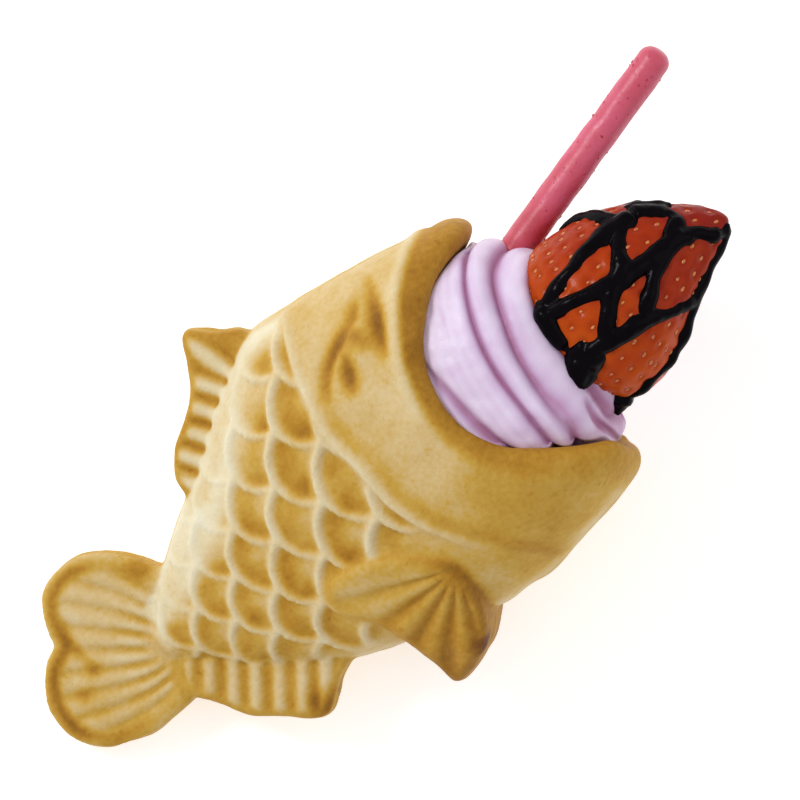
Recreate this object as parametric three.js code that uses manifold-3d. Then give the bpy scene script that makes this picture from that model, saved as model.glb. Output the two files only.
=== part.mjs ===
import * as THREE from "three";
import { mergeVertices } from "three/addons/utils/BufferGeometryUtils.js";
import Module from "manifold-3d";

// A fish-shaped waffle cone with an open mouth, lying on its flank: soft ice cream fills the mouth,
// and a strawberry and a coated biscuit stick are pushed into the ice cream.
// Millimetres. Every piece is drawn in the fish's own frame and then laid down:
// x runs from the tail joint to the mouth, y towards the dorsal fin, z out of the flank that shows.

const wasm = await Module();
wasm.setup();

const pitch = THREE.MathUtils.degToRad(12.5); // the mouth end is propped up on the wide cheek
const gap = 0.3; // clearance between neighbouring pieces
const footDepth = 0.5; // how much is cut off the flank to give a flat foot
const finCore = 1.2;
const finBevel = 0.4;
const slabMargin = 20;

// Body sections: [distance from the tail joint, dorsal edge, ventral edge, half thickness].
const sections = [
  [0.5, 8.5, -7.5, 7],
  [8, 12.2, -13.5, 8.6],
  [18, 18.8, -21.5, 11],
  [32, 27.4, -29.5, 14.5],
  [45, 36.3, -34.2, 18.5],
  [59, 43.7, -38.2, 22.5],
  [75, 43.2, -41.2, 26.5],
  [90, 41.2, -40, 30],
  [104, 39.2, -36.9, 31],
  [119, 36.4, -32.7, 31],
];
const tailSlant = 8; // how much farther forward the body starts on its dorsal side
const tailEnd = 3; // how far the body's rounded end reaches behind the first section
const endRows = 3;
const roundness = 2.2; // exponent of the section's superellipse
const columns = 40; // points round the body, the mouth and the ice cream
const bodyRows = 20;
const rowCrowding = 0.9; // less than 1 sets the rows closer together towards the mouth

const mouth = {
  corner: 92, // distance from the tail joint to the mouth's corner, at mid flank
  cornerAngle: 88, // degrees round from the dorsal edge
  upperLip: 116.4,
  lowerLip: 116.5,
  underShort: 3.2, // how much shorter the lower lip is on the side it lies on
  lowerReach: 66, // degrees over which the rim climbs from the corner to the lower lip
  wall: 8,
  lipLength: 6.5,
  lipRows: 6,
  flare: 1.2,
  flareReach: 7,
  floorStart: 82,
  floor: 56,
  floorFullness: 0.8, // less than 1 makes the hollow's end blunter
  floorRows: 5,
  throatRows: 4,
};

const tail = {
  root: [-0.1, 0.7],
  angle: 151.4, // degrees from the body's axis
  // Each lobe's edge from the joint out to the notch: [distance out, distance aside].
  dorsalLobe: [[-6, 10], [-3, 15], [7, 20], [15, 20.8], [21.4, 18.6], [25.8, 13.6], [26.8, 7.5], [26, 2.4]],
  ventralLobe: [[-6, 11.3], [-3, 17.5], [7, 23.2], [15.6, 24.9], [23.6, 22.2], [28.2, 15.8], [29.4, 8.6],
    [28, 3.2]],
  notch: [25.4, 0.4],
  halfThickness: 3.9,
};

const dorsalFin = {
  outline: [[59, 43], [54, 48.8], [47.8, 53.3], [44.2, 47.5], [41.8, 43], [37.8, 39.2], [33.6, 36],
    [28.6, 32.8], [25, 26], [28, 21], [42, 29]],
  halfThickness: 4.6,
};

const analFin = {
  outline: [[-2.6, -13], [-0.2, -18], [4.9, -26], [11.8, -31.9], [20, -37.4], [24.6, -35.6],
    [28.8, -32.3], [33.4, -28.6], [27, -20], [12, -10], [1, -6]],
  halfThickness: 4.6,
};

// The pair of pectoral fins meets at the belly seam, so the two are one wedge.
const pectoralFin = {
  outline: [[42.6, -13], [52.2, -13.8], [58.2, -16.2], [68.4, -23.2], [70.4, -28.5], [69.4, -36],
    [67, -41], [63.8, -44.6], [60.2, -47], [55.2, -48.8], [50.3, -48.4], [49.4, -42.2], [47.9, -34.9],
    [45.4, -27], [40.4, -19.4]],
  edge: 2.6,
  centre: [57, -15],
  halfThickness: 22.6,
  slopeAlong: 0.3,
  slopeUp: 0.42,
};

const swirl = {
  shoulder: 98,
  top: 127,
  bulge: 3.6,
  ridgePitch: 8.2,
  ridgeStarts: 2,
  ridgeDepth: 2,
  firstRidge: 88,
  ridgeRise: 4, // how steeply the ridges grow out of the plug
  swell: 3.8, // how far it rises at the mouth's corners, until it is level with the lips
  swellStart: -2.5, // measured from the lips
  swellFull: 2,
  sinkStart: 104,
  sinkEnd: 118,
  plugRows: 4,
  domeRows: 17,
};

const berry = {
  start: 112,
  widest: 127,
  tip: 165.3,
  radius: 20.8,
  flatness: 0.9,
  taperPower: 1.2,
  bluntPower: 8,
  blunt: 0.17, // share of the profile that stays wide right up to the tip
  shoulderPower: 2.6,
  centre: [-0.4, 3],
  bend: 4,
  columns: 32,
  rows: 18,
};

const stick = {
  from: [113.5, 20.4, -4.2],
  to: [174.6, 38.9, -6.2],
  diameter: 8.1,
  endRadius: 3,
  footBevel: 0.6,
  sides: 20,
};

const columnOf = (index) => new THREE.CubicInterpolant(
  sections.map((row) => row[0]), sections.map((row) => row[index]), 1);
const edges = [1, 2, 3].map(columnOf);
const sectionAt = (along) => edges.map((edge) => edge.evaluate(along)[0]);

const rounded = (value, exponent) => Math.sign(value) * Math.abs(value) ** (2 / exponent);
const angles = (count) => Array.from({ length: count }, (_, index) => (index / count) * 2 * Math.PI);
const round = angles(columns);

// A point on the body's skin, or under it by `inset`, drawn in by `shrink` towards the section's middle.
function wallPoint(along, angle, inset, shrink = 1) {
  const [top, bottom, side] = sectionAt(along);
  const height = ((top - bottom) / 2 - inset) * shrink;
  const width = (side - inset) * shrink;
  return new THREE.Vector3(
    along,
    (top + bottom) / 2 + height * rounded(Math.cos(angle), roundness),
    width * rounded(Math.sin(angle), roundness),
  );
}

function middleAt(along) {
  const [top, bottom] = sectionAt(along);
  return new THREE.Vector3(along, (top + bottom) / 2, 0);
}

// A closed skin through rings of equal length, with a pole before the first and after the last.
function skin(rings, firstPole, lastPole) {
  const count = rings[0].length;
  const points = [firstPole, ...rings.flat(), lastPole];
  const faces = [];
  const at = (ring, column) => 1 + ring * count + (column % count);
  for (let column = 0; column < count; column += 1) {
    faces.push(0, at(0, column + 1), at(0, column));
    faces.push(at(rings.length - 1, column), at(rings.length - 1, column + 1), points.length - 1);
    for (let ring = 0; ring + 1 < rings.length; ring += 1) {
      faces.push(at(ring, column), at(ring, column + 1), at(ring + 1, column));
      faces.push(at(ring, column + 1), at(ring + 1, column + 1), at(ring + 1, column));
    }
  }
  const geometry = new THREE.BufferGeometry().setFromPoints(points);
  geometry.setIndex(faces);
  return geometry;
}

function toSolid(geometry) {
  const bare = new THREE.BufferGeometry();
  bare.setAttribute("position", geometry.getAttribute("position"));
  bare.setIndex(geometry.index);
  const merged = mergeVertices(bare, 1e-3);
  return new wasm.Manifold(new wasm.Mesh({
    numProp: 3,
    vertProperties: merged.attributes.position.array,
    triVerts: new Uint32Array(merged.index.array),
  }));
}

function toGeometry(solid) {
  const mesh = solid.getMesh();
  const geometry = new THREE.BufferGeometry();
  geometry.setAttribute("position", new THREE.BufferAttribute(new Float32Array(mesh.vertProperties), 3));
  geometry.setIndex(new THREE.BufferAttribute(new Uint32Array(mesh.triVerts), 1));
  return geometry;
}

// How far forward the mouth's rim lies, at an angle round from the dorsal edge.
function rimAt(angle) {
  const turned = THREE.MathUtils.radToDeg(Math.min(angle, 2 * Math.PI - angle));
  const away = turned - mouth.cornerAngle;
  const under = THREE.MathUtils.smoothstep(-Math.sin(angle), -0.1, 0.5);
  const tip = away < 0 ? mouth.upperLip : mouth.lowerLip - mouth.underShort * under;
  const reach = away < 0 ? mouth.cornerAngle : mouth.lowerReach;
  return mouth.corner + (tip - mouth.corner) * THREE.MathUtils.smoothstep(Math.abs(away), 0, reach);
}

const flareAt = (along, angle) => mouth.flare * Math.exp(-(rimAt(angle) - along) / mouth.flareReach);

function bodySkin() {
  const rings = [];
  const first = sections[0][0];
  for (let row = 1; row < endRows; row += 1) {
    const turn = (row / endRows) * (Math.PI / 2);
    rings.push(round.map((angle) => {
      const slant = tailSlant * Math.max(0, Math.cos(angle)) * Math.sin(turn);
      return wallPoint(first + slant - tailEnd * Math.cos(turn), angle, 0, Math.sin(turn));
    }));
  }
  for (let row = 0; row <= bodyRows; row += 1) {
    const share = (row / bodyRows) ** rowCrowding;
    rings.push(round.map((angle) => {
      const lipStart = rimAt(angle) - mouth.lipLength;
      const tailStart = first + tailSlant * Math.max(0, Math.cos(angle));
      const along = THREE.MathUtils.lerp(tailStart, lipStart, share);
      return wallPoint(along, angle, -flareAt(along, angle));
    }));
  }
  for (let row = 1; row <= mouth.lipRows; row += 1) {
    const turn = (row / mouth.lipRows) * Math.PI;
    const inset = (mouth.wall / 2) * (1 - Math.cos(turn));
    rings.push(round.map((angle) => {
      const along = rimAt(angle) - mouth.lipLength * (1 - Math.sin(turn));
      return wallPoint(along, angle, inset - flareAt(along, angle));
    }));
  }
  for (let row = 1; row <= mouth.throatRows; row += 1) {
    rings.push(round.map((angle) => {
      const lipStart = rimAt(angle) - mouth.lipLength;
      const along = THREE.MathUtils.lerp(lipStart, mouth.floorStart, row / (mouth.throatRows + 1));
      return wallPoint(along, angle, mouth.wall - flareAt(along, angle));
    }));
  }
  rings.push(...hollowRings(0, 0).reverse());
  return skin(rings, middleAt(first - tailEnd), middleAt(mouth.floor));
}

// Rings of the mouth's hollow from its floor to where the lips begin, drawn in by `clearance`.
function hollowRings(clearance, extraRows) {
  const rings = [];
  for (let row = 1; row <= mouth.floorRows; row += 1) {
    const turn = (row / mouth.floorRows) * (Math.PI / 2);
    const along = mouth.floorStart - (mouth.floorStart - mouth.floor - clearance) * Math.cos(turn);
    const shrink = Math.sin(turn) ** mouth.floorFullness;
    rings.push(round.map((angle) => wallPoint(along, angle, mouth.wall + clearance, shrink)));
  }
  for (let row = 1; row <= extraRows; row += 1) {
    const along = THREE.MathUtils.lerp(mouth.floorStart, swirl.firstRidge, row / extraRows);
    rings.push(round.map((angle) => wallPoint(along, angle, mouth.wall + clearance)));
  }
  return rings;
}

// A plate with rounded edges on both sides of the fish's middle plane, as thick as `halfAt` says.
// It is drawn 2 thick, flat core and bevels together, and then stretched.
function finPlate(outline, halfAt, edge = 2) {
  const curve = new THREE.CatmullRomCurve3(outline.map(([x, y]) => new THREE.Vector3(x, y, 0)), true);
  const shape = new THREE.Shape(curve.getPoints(outline.length * 2).slice(1));
  const geometry = new THREE.ExtrudeGeometry(shape, {
    depth: finCore,
    bevelThickness: finBevel,
    bevelSize: edge,
    bevelOffset: -edge,
    bevelSegments: 3,
  });
  const position = geometry.getAttribute("position");
  for (let index = 0; index < position.count; index += 1) {
    const half = halfAt(position.getX(index), position.getY(index));
    position.setZ(index, (position.getZ(index) - finCore / 2) * half);
  }
  return geometry;
}

function tailOutline() {
  const turn = THREE.MathUtils.degToRad(tail.angle);
  const place = ([out, side]) => [
    tail.root[0] + out * Math.cos(turn) + side * Math.sin(turn),
    tail.root[1] + out * Math.sin(turn) - side * Math.cos(turn),
  ];
  const ventral = tail.ventralLobe.map(([out, side]) => [out, -side]).reverse();
  return [...tail.dorsalLobe, tail.notch, ...ventral].map(place);
}

function pectoralHalf(along, up) {
  const { centre, halfThickness, slopeAlong, slopeUp } = pectoralFin;
  return halfThickness + slopeAlong * (along - centre[0]) + slopeUp * (up - centre[1]);
}

function swellAt(along, angle) {
  const past = along - rimAt(angle);
  const risen = THREE.MathUtils.smoothstep(past, swirl.swellStart, swirl.swellFull);
  const sunk = THREE.MathUtils.smoothstep(along, swirl.sinkStart, swirl.sinkEnd);
  return swirl.swell * Math.sin(angle) ** 2 * risen * (1 - sunk);
}

function swirlSkin() {
  const rings = hollowRings(gap, swirl.plugRows);
  for (let row = 1; row <= swirl.domeRows; row += 1) {
    const rise = Math.sin((row / (swirl.domeRows + 1)) * (Math.PI / 2));
    const along = THREE.MathUtils.lerp(swirl.firstRidge, swirl.top, rise);
    const height = Math.max(0, (along - swirl.shoulder) / (swirl.top - swirl.shoulder));
    const shrink = (1 - height ** swirl.bulge) ** (1 / swirl.bulge);
    rings.push(round.map((angle) => {
      const phase = (2 * Math.PI * along) / swirl.ridgePitch + swirl.ridgeStarts * angle;
      const valley = (swirl.ridgeDepth / 2) * (1 - Math.cos(phase)) * Math.min(1, rise * swirl.ridgeRise);
      const inset = mouth.wall + gap + valley - swellAt(along, angle);
      return wallPoint(Math.min(along, swirl.top), angle, inset, shrink);
    }));
  }
  return skin(rings, middleAt(mouth.floor + gap), middleAt(swirl.top));
}

// The strawberry, or with `clearance` the room that it needs.
function berrySkin(clearance = 0) {
  const rings = [];
  const first = berry.start - clearance;
  const last = berry.tip + clearance;
  for (let row = 1; row < berry.rows; row += 1) {
    const along = THREE.MathUtils.lerp(first, last, (1 - Math.cos((row / berry.rows) * Math.PI)) / 2);
    const fore = (along - berry.widest) / (last - berry.widest);
    const aft = (berry.widest - along) / (berry.widest - first);
    const slim = (1 - fore ** 2) ** berry.taperPower;
    const tapered = THREE.MathUtils.lerp(slim, Math.sqrt(1 - fore ** berry.bluntPower), berry.blunt);
    const shape = fore > 0 ? tapered : (1 - aft ** berry.shoulderPower) ** 0.5;
    const radius = (berry.radius + clearance) * shape;
    const rise = berry.centre[0] + berry.bend * Math.sin(Math.PI * Math.max(0, fore)) * Math.max(0, fore);
    rings.push(angles(berry.columns).map((angle) => new THREE.Vector3(
      along,
      rise + radius * Math.cos(angle),
      berry.centre[1] + radius * berry.flatness * Math.sin(angle),
    )));
  }
  const pole = (along) => new THREE.Vector3(along, berry.centre[0], berry.centre[1]);
  return skin(rings, pole(first), pole(last));
}

function stickSkin(clearance = 0) {
  const from = new THREE.Vector3(...stick.from);
  const way = new THREE.Vector3(...stick.to).sub(from);
  const length = way.length() + clearance;
  const radius = stick.diameter / 2 + clearance;
  const { endRadius, footBevel } = stick;
  const profile = new THREE.Path();
  profile.moveTo(0, -clearance);
  profile.lineTo(radius - footBevel, -clearance);
  profile.lineTo(radius, footBevel - clearance);
  profile.lineTo(radius, length - endRadius);
  profile.absarc(radius - endRadius, length - endRadius, endRadius, 0, Math.PI / 2);
  profile.lineTo(0, length);
  const geometry = new THREE.LatheGeometry(profile.getPoints(4), stick.sides);
  const turn = new THREE.Quaternion().setFromUnitVectors(new THREE.Vector3(0, 1, 0), way.normalize());
  return geometry.applyQuaternion(turn).translate(from.x, from.y, from.z);
}

function fishSolid() {
  const pieces = [
    finPlate(tailOutline(), () => tail.halfThickness),
    finPlate(dorsalFin.outline, () => dorsalFin.halfThickness),
    finPlate(analFin.outline, () => analFin.halfThickness),
    finPlate(pectoralFin.outline, pectoralHalf, pectoralFin.edge),
  ];
  const rings = hollowRings(0, swirl.plugRows);
  const hollow = toSolid(skin(rings, middleAt(mouth.floor), middleAt(swirl.firstRidge)));
  const fins = pieces.map(toSolid).reduce((whole, fin) => whole.add(fin));
  return toSolid(bodySkin()).add(fins.subtract(hollow));
}

function laidDown(solid) {
  return toGeometry(solid).applyMatrix4(new THREE.Matrix4().makeRotationY(-pitch));
}

// Everything below the foot is cut away, so that the cone rests on small flat spots.
function withFoot(geometry) {
  geometry.computeBoundingBox();
  const { min, max } = geometry.boundingBox;
  const size = max.clone().sub(min).addScalar(slabMargin);
  const slab = new THREE.BoxGeometry(size.x, size.y, size.z);
  slab.translate((min.x + max.x) / 2, (min.y + max.y) / 2, min.z + footDepth - size.z / 2);
  return { cut: toGeometry(toSolid(geometry).subtract(toSolid(slab))), floor: min.z + footDepth };
}

const cone = withFoot(laidDown(fishSolid()));
const iceCream = toSolid(swirlSkin()).subtract(toSolid(berrySkin(gap))).subtract(toSolid(stickSkin(gap)));

const looks = {
  taiyaki_cone: { color: "#cf9f55", roughness: 0.75, metalness: 0 },
  ice_cream: { color: "#dcb9dd", roughness: 0.5, metalness: 0 },
  strawberry: { color: "#b8361a", roughness: 0.35, metalness: 0 },
  biscuit_stick: { color: "#cc5568", roughness: 0.45, metalness: 0 },
};
const geometries = {
  taiyaki_cone: cone.cut,
  ice_cream: laidDown(iceCream),
  strawberry: laidDown(toSolid(berrySkin())),
  biscuit_stick: laidDown(toSolid(stickSkin())),
};

const extent = new THREE.Box3();
for (const geometry of Object.values(geometries)) {
  geometry.computeBoundingBox();
  extent.union(geometry.boundingBox);
}
const centre = extent.getCenter(new THREE.Vector3());

const taiyaki = new THREE.Group();
taiyaki.name = "taiyaki";
for (const [name, geometry] of Object.entries(geometries)) {
  geometry.translate(-centre.x, -centre.y, -cone.floor);
  geometry.computeVertexNormals();
  const mesh = new THREE.Mesh(geometry, new THREE.MeshStandardMaterial(looks[name]));
  mesh.name = name;
  taiyaki.add(mesh);
}

export default taiyaki;
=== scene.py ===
import math

import bpy
import numpy as np
from mathutils import Matrix, Vector
from mathutils.kdtree import KDTree


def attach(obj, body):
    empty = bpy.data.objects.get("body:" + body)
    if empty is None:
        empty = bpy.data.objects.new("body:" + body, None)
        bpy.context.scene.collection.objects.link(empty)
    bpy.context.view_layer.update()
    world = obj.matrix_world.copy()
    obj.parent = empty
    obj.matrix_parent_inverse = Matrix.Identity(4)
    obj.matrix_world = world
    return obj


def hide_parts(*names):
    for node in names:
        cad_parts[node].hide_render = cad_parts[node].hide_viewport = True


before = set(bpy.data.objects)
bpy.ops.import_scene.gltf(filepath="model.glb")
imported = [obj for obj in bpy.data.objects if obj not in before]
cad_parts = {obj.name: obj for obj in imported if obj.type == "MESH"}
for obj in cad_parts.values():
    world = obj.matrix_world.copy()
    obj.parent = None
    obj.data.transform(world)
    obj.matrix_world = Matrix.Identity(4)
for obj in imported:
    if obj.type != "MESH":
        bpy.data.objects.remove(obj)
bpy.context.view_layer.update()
print("frame loaded:", ", ".join(sorted(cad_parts)))

mm = 0.001
tau = 2 * math.pi

# the fish's own frame, in millimetres: x from the tail joint to the mouth, y to the dorsal fin, z out
# of the upper flank; it is pitched up towards the mouth by so many degrees
lie = {"pitch": 12.5, "tailJoint": (-70.08, -2.135, 9.907)}
lieCos = math.cos(math.radians(lie["pitch"]))
lieSin = math.sin(math.radians(lie["pitch"]))


def toRow(points):
    u, v, w = np.asarray(points, float).T
    x, y, z = lie["tailJoint"]
    return np.stack([lieCos * u - lieSin * w + x, v + y, lieSin * u + lieCos * w + z], axis=1) * mm


def smoothStep(low, high, value):
    t = np.clip((value - low) / (high - low), 0, 1)
    return t * t * (3 - 2 * t)


# rises from 0 to 1 over the first span and falls back over the second
def window(value, rise, fall):
    return smoothStep(*rise, value) * (1 - smoothStep(*fall, value))


def bell(value, width):
    return np.exp(-((value / width) ** 2))


def mix(a, b, share):
    return a + (b - a) * share


def addObject(name, data):
    thing = bpy.data.objects.new(name, data)
    bpy.context.scene.collection.objects.link(thing)
    return thing


def newPiece(name, points, faces):
    mesh = bpy.data.meshes.new(name)
    faces = np.asarray(faces, int)
    mesh.vertices.add(len(points))
    mesh.vertices.foreach_set("co", np.asarray(points, np.float32).ravel())
    mesh.loops.add(faces.size)
    mesh.loops.foreach_set("vertex_index", faces.ravel())
    mesh.polygons.add(len(faces))
    mesh.polygons.foreach_set("loop_start", np.arange(0, faces.size, faces.shape[1]))
    mesh.update(calc_edges=True)
    mesh.validate()
    mesh.shade_smooth()
    return addObject(name, mesh)


def readTriples(source, field):
    values = np.zeros(len(source) * 3, np.float32)
    source.foreach_get(field, values)
    return values.reshape(-1, 3).astype(float)


def readPoints(mesh):
    return readTriples(mesh.vertices, "co")


def readNormals(mesh):
    return readTriples(mesh.vertex_normals, "vector")


def writePoints(mesh, points):
    mesh.vertices.foreach_set("co", np.asarray(points, np.float32).ravel())
    mesh.update()


# raises each point of a plain form along its normal and puts it in the row's frame
def emboss(mesh, points, normals, height):
    writePoints(mesh, toRow(points + normals * height[:, None]))


# evens each vertex out with its neighbours
def soften(mesh, points, rounds, share=0.5):
    edges = np.zeros(len(mesh.edges) * 2, np.int64)
    mesh.edges.foreach_get("vertices", edges)
    a, b = edges.reshape(-1, 2).T
    count = np.bincount(np.concatenate([a, b]), minlength=len(points))[:, None]
    for _ in range(rounds):
        sums = np.stack([
            np.bincount(a, points[b, k], len(points)) + np.bincount(b, points[a, k], len(points))
            for k in range(points.shape[1])
        ], axis=1)
        points = mix(points, sums / np.maximum(count, 1), share)
    return points


# gives the piece a plain mesh with its modifiers applied
def applied(piece):
    depsgraph = bpy.context.evaluated_depsgraph_get()
    mesh = bpy.data.meshes.new_from_object(piece.evaluated_get(depsgraph))
    piece.modifiers.clear()
    old = piece.data
    piece.data = mesh
    mesh.name = piece.name
    bpy.data.meshes.remove(old)
    return piece


def remeshed(piece, voxel):
    remesh = piece.modifiers.new("remesh", "REMESH")
    remesh.mode = "VOXEL"
    remesh.voxel_size = voxel
    remesh.use_smooth_shade = True
    return applied(piece)


def addAttribute(mesh, name, values):
    values = np.asarray(values, np.float32)
    kind, field = ("FLOAT", "value") if values.ndim == 1 else ("FLOAT_VECTOR", "vector")
    mesh.attributes.new(name, kind, "POINT").data.foreach_set(field, values.ravel())


def anglesRound(count):
    return np.arange(count) / count * tau


# a closed skin of triangles through rings of equal length and a pole at each end
def ringSkin(rings, firstPole, lastPole):
    rows, count = len(rings), len(rings[0])
    points = np.concatenate([[firstPole], np.concatenate(rings), [lastPole]])
    column = np.arange(count)
    after = (column + 1) % count
    faces = [np.stack([np.zeros(count, int), 1 + after, 1 + column], axis=1)]
    for row in range(rows - 1):
        here, there = 1 + row * count, 1 + (row + 1) * count
        faces.append(np.stack([here + column, here + after, there + column], axis=1))
        faces.append(np.stack([here + after, there + after, there + column], axis=1))
    last = 1 + (rows - 1) * count
    faces.append(np.stack([last + column, last + after, np.full(count, len(points) - 1)], axis=1))
    return points, np.concatenate(faces)


def joinedShells(shells):
    points, faces, start = [], [], 0
    for shellPoints, shellFaces in shells:
        points.append(shellPoints)
        faces.append(shellFaces + start)
        start += len(shellPoints)
    return np.concatenate(points), np.concatenate(faces)


# a place on the smooth curve from b to c, t of the way along; a comes before them and d after
def onCurve(a, b, c, d, t):
    return 0.5 * (2 * b + (c - a) * t + (2 * a - 5 * b + 4 * c - d) * t**2 + (3 * b - a - 3 * c + d) * t**3)


# a smooth curve through a few points
def throughPoints(knots, step=0.12):
    knots = np.asarray(knots, float)
    ends = np.concatenate([[2 * knots[0] - knots[1]], knots, [2 * knots[-1] - knots[-2]]])
    points = []
    for a, b, c, d in zip(ends, ends[1:], ends[2:], ends[3:]):
        for t in np.arange(0, 1, step):
            points.append(onCurve(a, b, c, d, t))
    return np.array(points + [knots[-1]])


# a value read from a table of (place, value) pairs
def fromTable(place, table):
    return np.interp(place, *np.array(table).T)


# the fish's body; each section has its distance from the tail joint, dorsal edge, ventral edge and
# half thickness
sections = np.array([
    [0.5, 8.5, -7.5, 7],
    [8, 12.2, -13.5, 8.6],
    [18, 18.8, -21.5, 11],
    [32, 27.4, -29.5, 14.5],
    [45, 36.3, -34.2, 18.5],
    [59, 43.7, -38.2, 22.5],
    [75, 43.2, -41.2, 26.5],
    [90, 41.2, -40, 30],
    [104, 39.2, -36.9, 31],
    [119, 36.4, -32.7, 31],
])
body = {
    "roundness": 2.2, "tailSlant": 8, "tailCap": 3,
    "columns": 220, "rows": 170, "rowSpread": 0.9, "capRows": 12, "lipRows": 30, "floorRows": 24,
    "voxel": 0.71, "softenRounds": 7, "softenNormals": 2,
}
# the lips' tips lie so far along, and the corners between them at this angle from the dorsal edge
mouth = {
    "corner": 92, "cornerAngle": 88, "upperLip": 116.4, "lowerLip": 116.5, "lowerReach": 66,
    "underShort": 3.2,  # how much shorter the lower lip is on the side it lies on
    "wall": 8, "lipLength": 6.5, "flare": 1.2, "flareReach": 7,
    "floorStart": 82, "floor": 56, "floorRoundness": 0.8,
}


def sectionAt(along):
    places = sections[:, 0]
    slopes = np.diff(sections[:, 1:], axis=0) / np.diff(places)[:, None]
    tangents = np.zeros((len(places), 3))
    tangents[1:-1] = (slopes[:-1] + slopes[1:]) / 2
    tangents[0], tangents[-1] = slopes[0], slopes[-1]
    along = np.clip(np.asarray(along, float), places[0], places[-1])
    i = np.clip(np.searchsorted(places, along, side="right") - 1, 0, len(places) - 2)
    step = (places[i + 1] - places[i])[..., None]
    t = ((along - places[i]) / (places[i + 1] - places[i]))[..., None]
    a, b = sections[i, 1:], sections[i + 1, 1:]
    value = (
        (2 * t**3 - 3 * t**2 + 1) * a + (t**3 - 2 * t**2 + t) * step * tangents[i]
        + (3 * t**2 - 2 * t**3) * b + (t**3 - t**2) * step * tangents[i + 1]
    )
    return value[..., 0], value[..., 1], value[..., 2]


def rounded(value):
    return np.sign(value) * np.abs(value) ** (2 / body["roundness"])


# a place on the body's wall, at an angle round it from the dorsal edge towards the upper flank
def wallPoint(along, angle, inset, shrink=1.0):
    along, angle = np.broadcast_arrays(np.asarray(along, float), angle)
    top, bottom, side = sectionAt(along)
    height = ((top - bottom) / 2 - inset) * shrink
    width = (side - inset) * shrink
    return np.stack([
        along, (top + bottom) / 2 + height * rounded(np.cos(angle)), width * rounded(np.sin(angle)),
    ], axis=-1)


# how far along the rim of the mouth lies
def rimAt(angle):
    turned = np.degrees(np.minimum(angle % tau, tau - angle % tau))
    away = turned - mouth["cornerAngle"]
    under = smoothStep(0.1, -0.5, np.sin(angle))
    tip = np.where(away < 0, mouth["upperLip"], mouth["lowerLip"] - mouth["underShort"] * under)
    reach = np.where(away < 0, mouth["cornerAngle"], mouth["lowerReach"])
    return mouth["corner"] + (tip - mouth["corner"]) * smoothStep(0, 1, np.abs(away) / reach)


def flareAt(along, angle):
    return mouth["flare"] * np.exp(-(rimAt(angle) - along) / mouth["flareReach"])


def middleAt(along):
    top, bottom, _ = sectionAt(np.array(along))
    return np.array([along, float(top + bottom) / 2, 0.0])


# rings up the rounded floor of the hollow
def hollowRings(angles, clearance, rows):
    rings = []
    for turn in np.linspace(0, math.pi / 2, rows + 1)[1:]:
        along = mouth["floorStart"] - (mouth["floorStart"] - mouth["floor"] - clearance) * math.cos(turn)
        shrink = math.sin(turn) ** mouth["floorRoundness"]
        rings.append(wallPoint(along, angles, mouth["wall"] + clearance, shrink))
    return rings


def bodyShell():
    angles = anglesRound(body["columns"])
    first, cap = sections[0, 0], body["tailCap"]
    slant = body["tailSlant"] * np.maximum(0, np.cos(angles))
    lipStart = rimAt(angles) - mouth["lipLength"]
    rings = []
    for turn in np.linspace(0, math.pi / 2, body["capRows"])[1:-1]:
        along = first + slant * math.sin(turn) - cap * math.cos(turn)
        rings.append(wallPoint(along, angles, 0, math.sin(turn)))
        rings[-1][:, 0] = along
    for share in np.linspace(0, 1, body["rows"]) ** body["rowSpread"]:
        along = mix(first + slant, lipStart, share)
        rings.append(wallPoint(along, angles, -flareAt(along, angles)))
    for turn in np.linspace(0, math.pi, body["lipRows"])[1:]:
        along = rimAt(angles) - mouth["lipLength"] * (1 - math.sin(turn))
        inset = mouth["wall"] / 2 * (1 - math.cos(turn)) - flareAt(along, angles)
        rings.append(wallPoint(along, angles, inset))
    for share in np.linspace(0, 1, body["lipRows"])[1:-1]:
        along = mix(lipStart, mouth["floorStart"], share)
        rings.append(wallPoint(along, angles, mouth["wall"] - flareAt(along, angles)))
    rings += hollowRings(angles, 0, body["floorRows"])[::-1]
    start = middleAt(first)
    start[0] -= cap
    return ringSkin(rings, start, middleAt(mouth["floor"]))


# the fins are plates across the middle plane; half is half a fin's thickness
finEdge = {"radius": 1.8, "rows": 12}
tail = {
    "root": (-0.1, 0.7), "angle": 151.4, "half": 3.9,
    # each lobe's edge from the joint out to the notch: how far out, how far aside
    "dorsalLobe": [
        (-6, 10), (-3, 15), (7, 20), (15, 20.8), (21.4, 18.6), (25.8, 13.6), (26.8, 7.5), (26, 2.4),
    ],
    "notch": (25.4, 0.4),
    "ventralLobe": [
        (-6, 11.3), (-3, 17.5), (7, 23.2), (15.6, 24.9), (23.6, 22.2), (28.2, 15.8), (29.4, 8.6), (28, 3.2),
    ],
    # the rays: where they meet, the direction of the middle one and the degrees from ray to ray
    "rayJoint": (0.3, -2.5), "rayMiddle": 143, "rayShift": 4, "rayStep": 18.6, "rayTurn": 0.64,
    "rayHeights": (0.62, 0.42), "rimHeight": 0.35, "crescentDepth": 0.35, "grooveDepth": 0.4,
    # the rays fade in over these distances from the edge and the joint, and end at the rim; a
    # browned crescent follows it
    "rayFromEdge": (3.6, 5.4), "rayFromJoint": (2.5, 7), "rim": (3.2, 4.6), "crescent": (2.6, 1.5),
    "crescentFrom": (14, 21), "grooveWidth": 1.3, "nearToast": 0.13, "nearSpan": (8, 4.5),
    "toast": (0.51, 0.44), "crescentToast": 0.36, "grooveToast": 0.24,
    "notchGroove": [(-16.6, 17.2), (-18.3, 11.7), (-18, 7.2), (-16.9, 3.3)],
    # browned spots: place, size and how much browner
    "spots": [
        (5.7, 15.6, 5, 0.22), (-17.4, 3.3, 2.6, 0.24), (-23.2, 0, 2.4, 0.24), (-24.1, -14.3, 5, 0.16),
    ],
}
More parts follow.
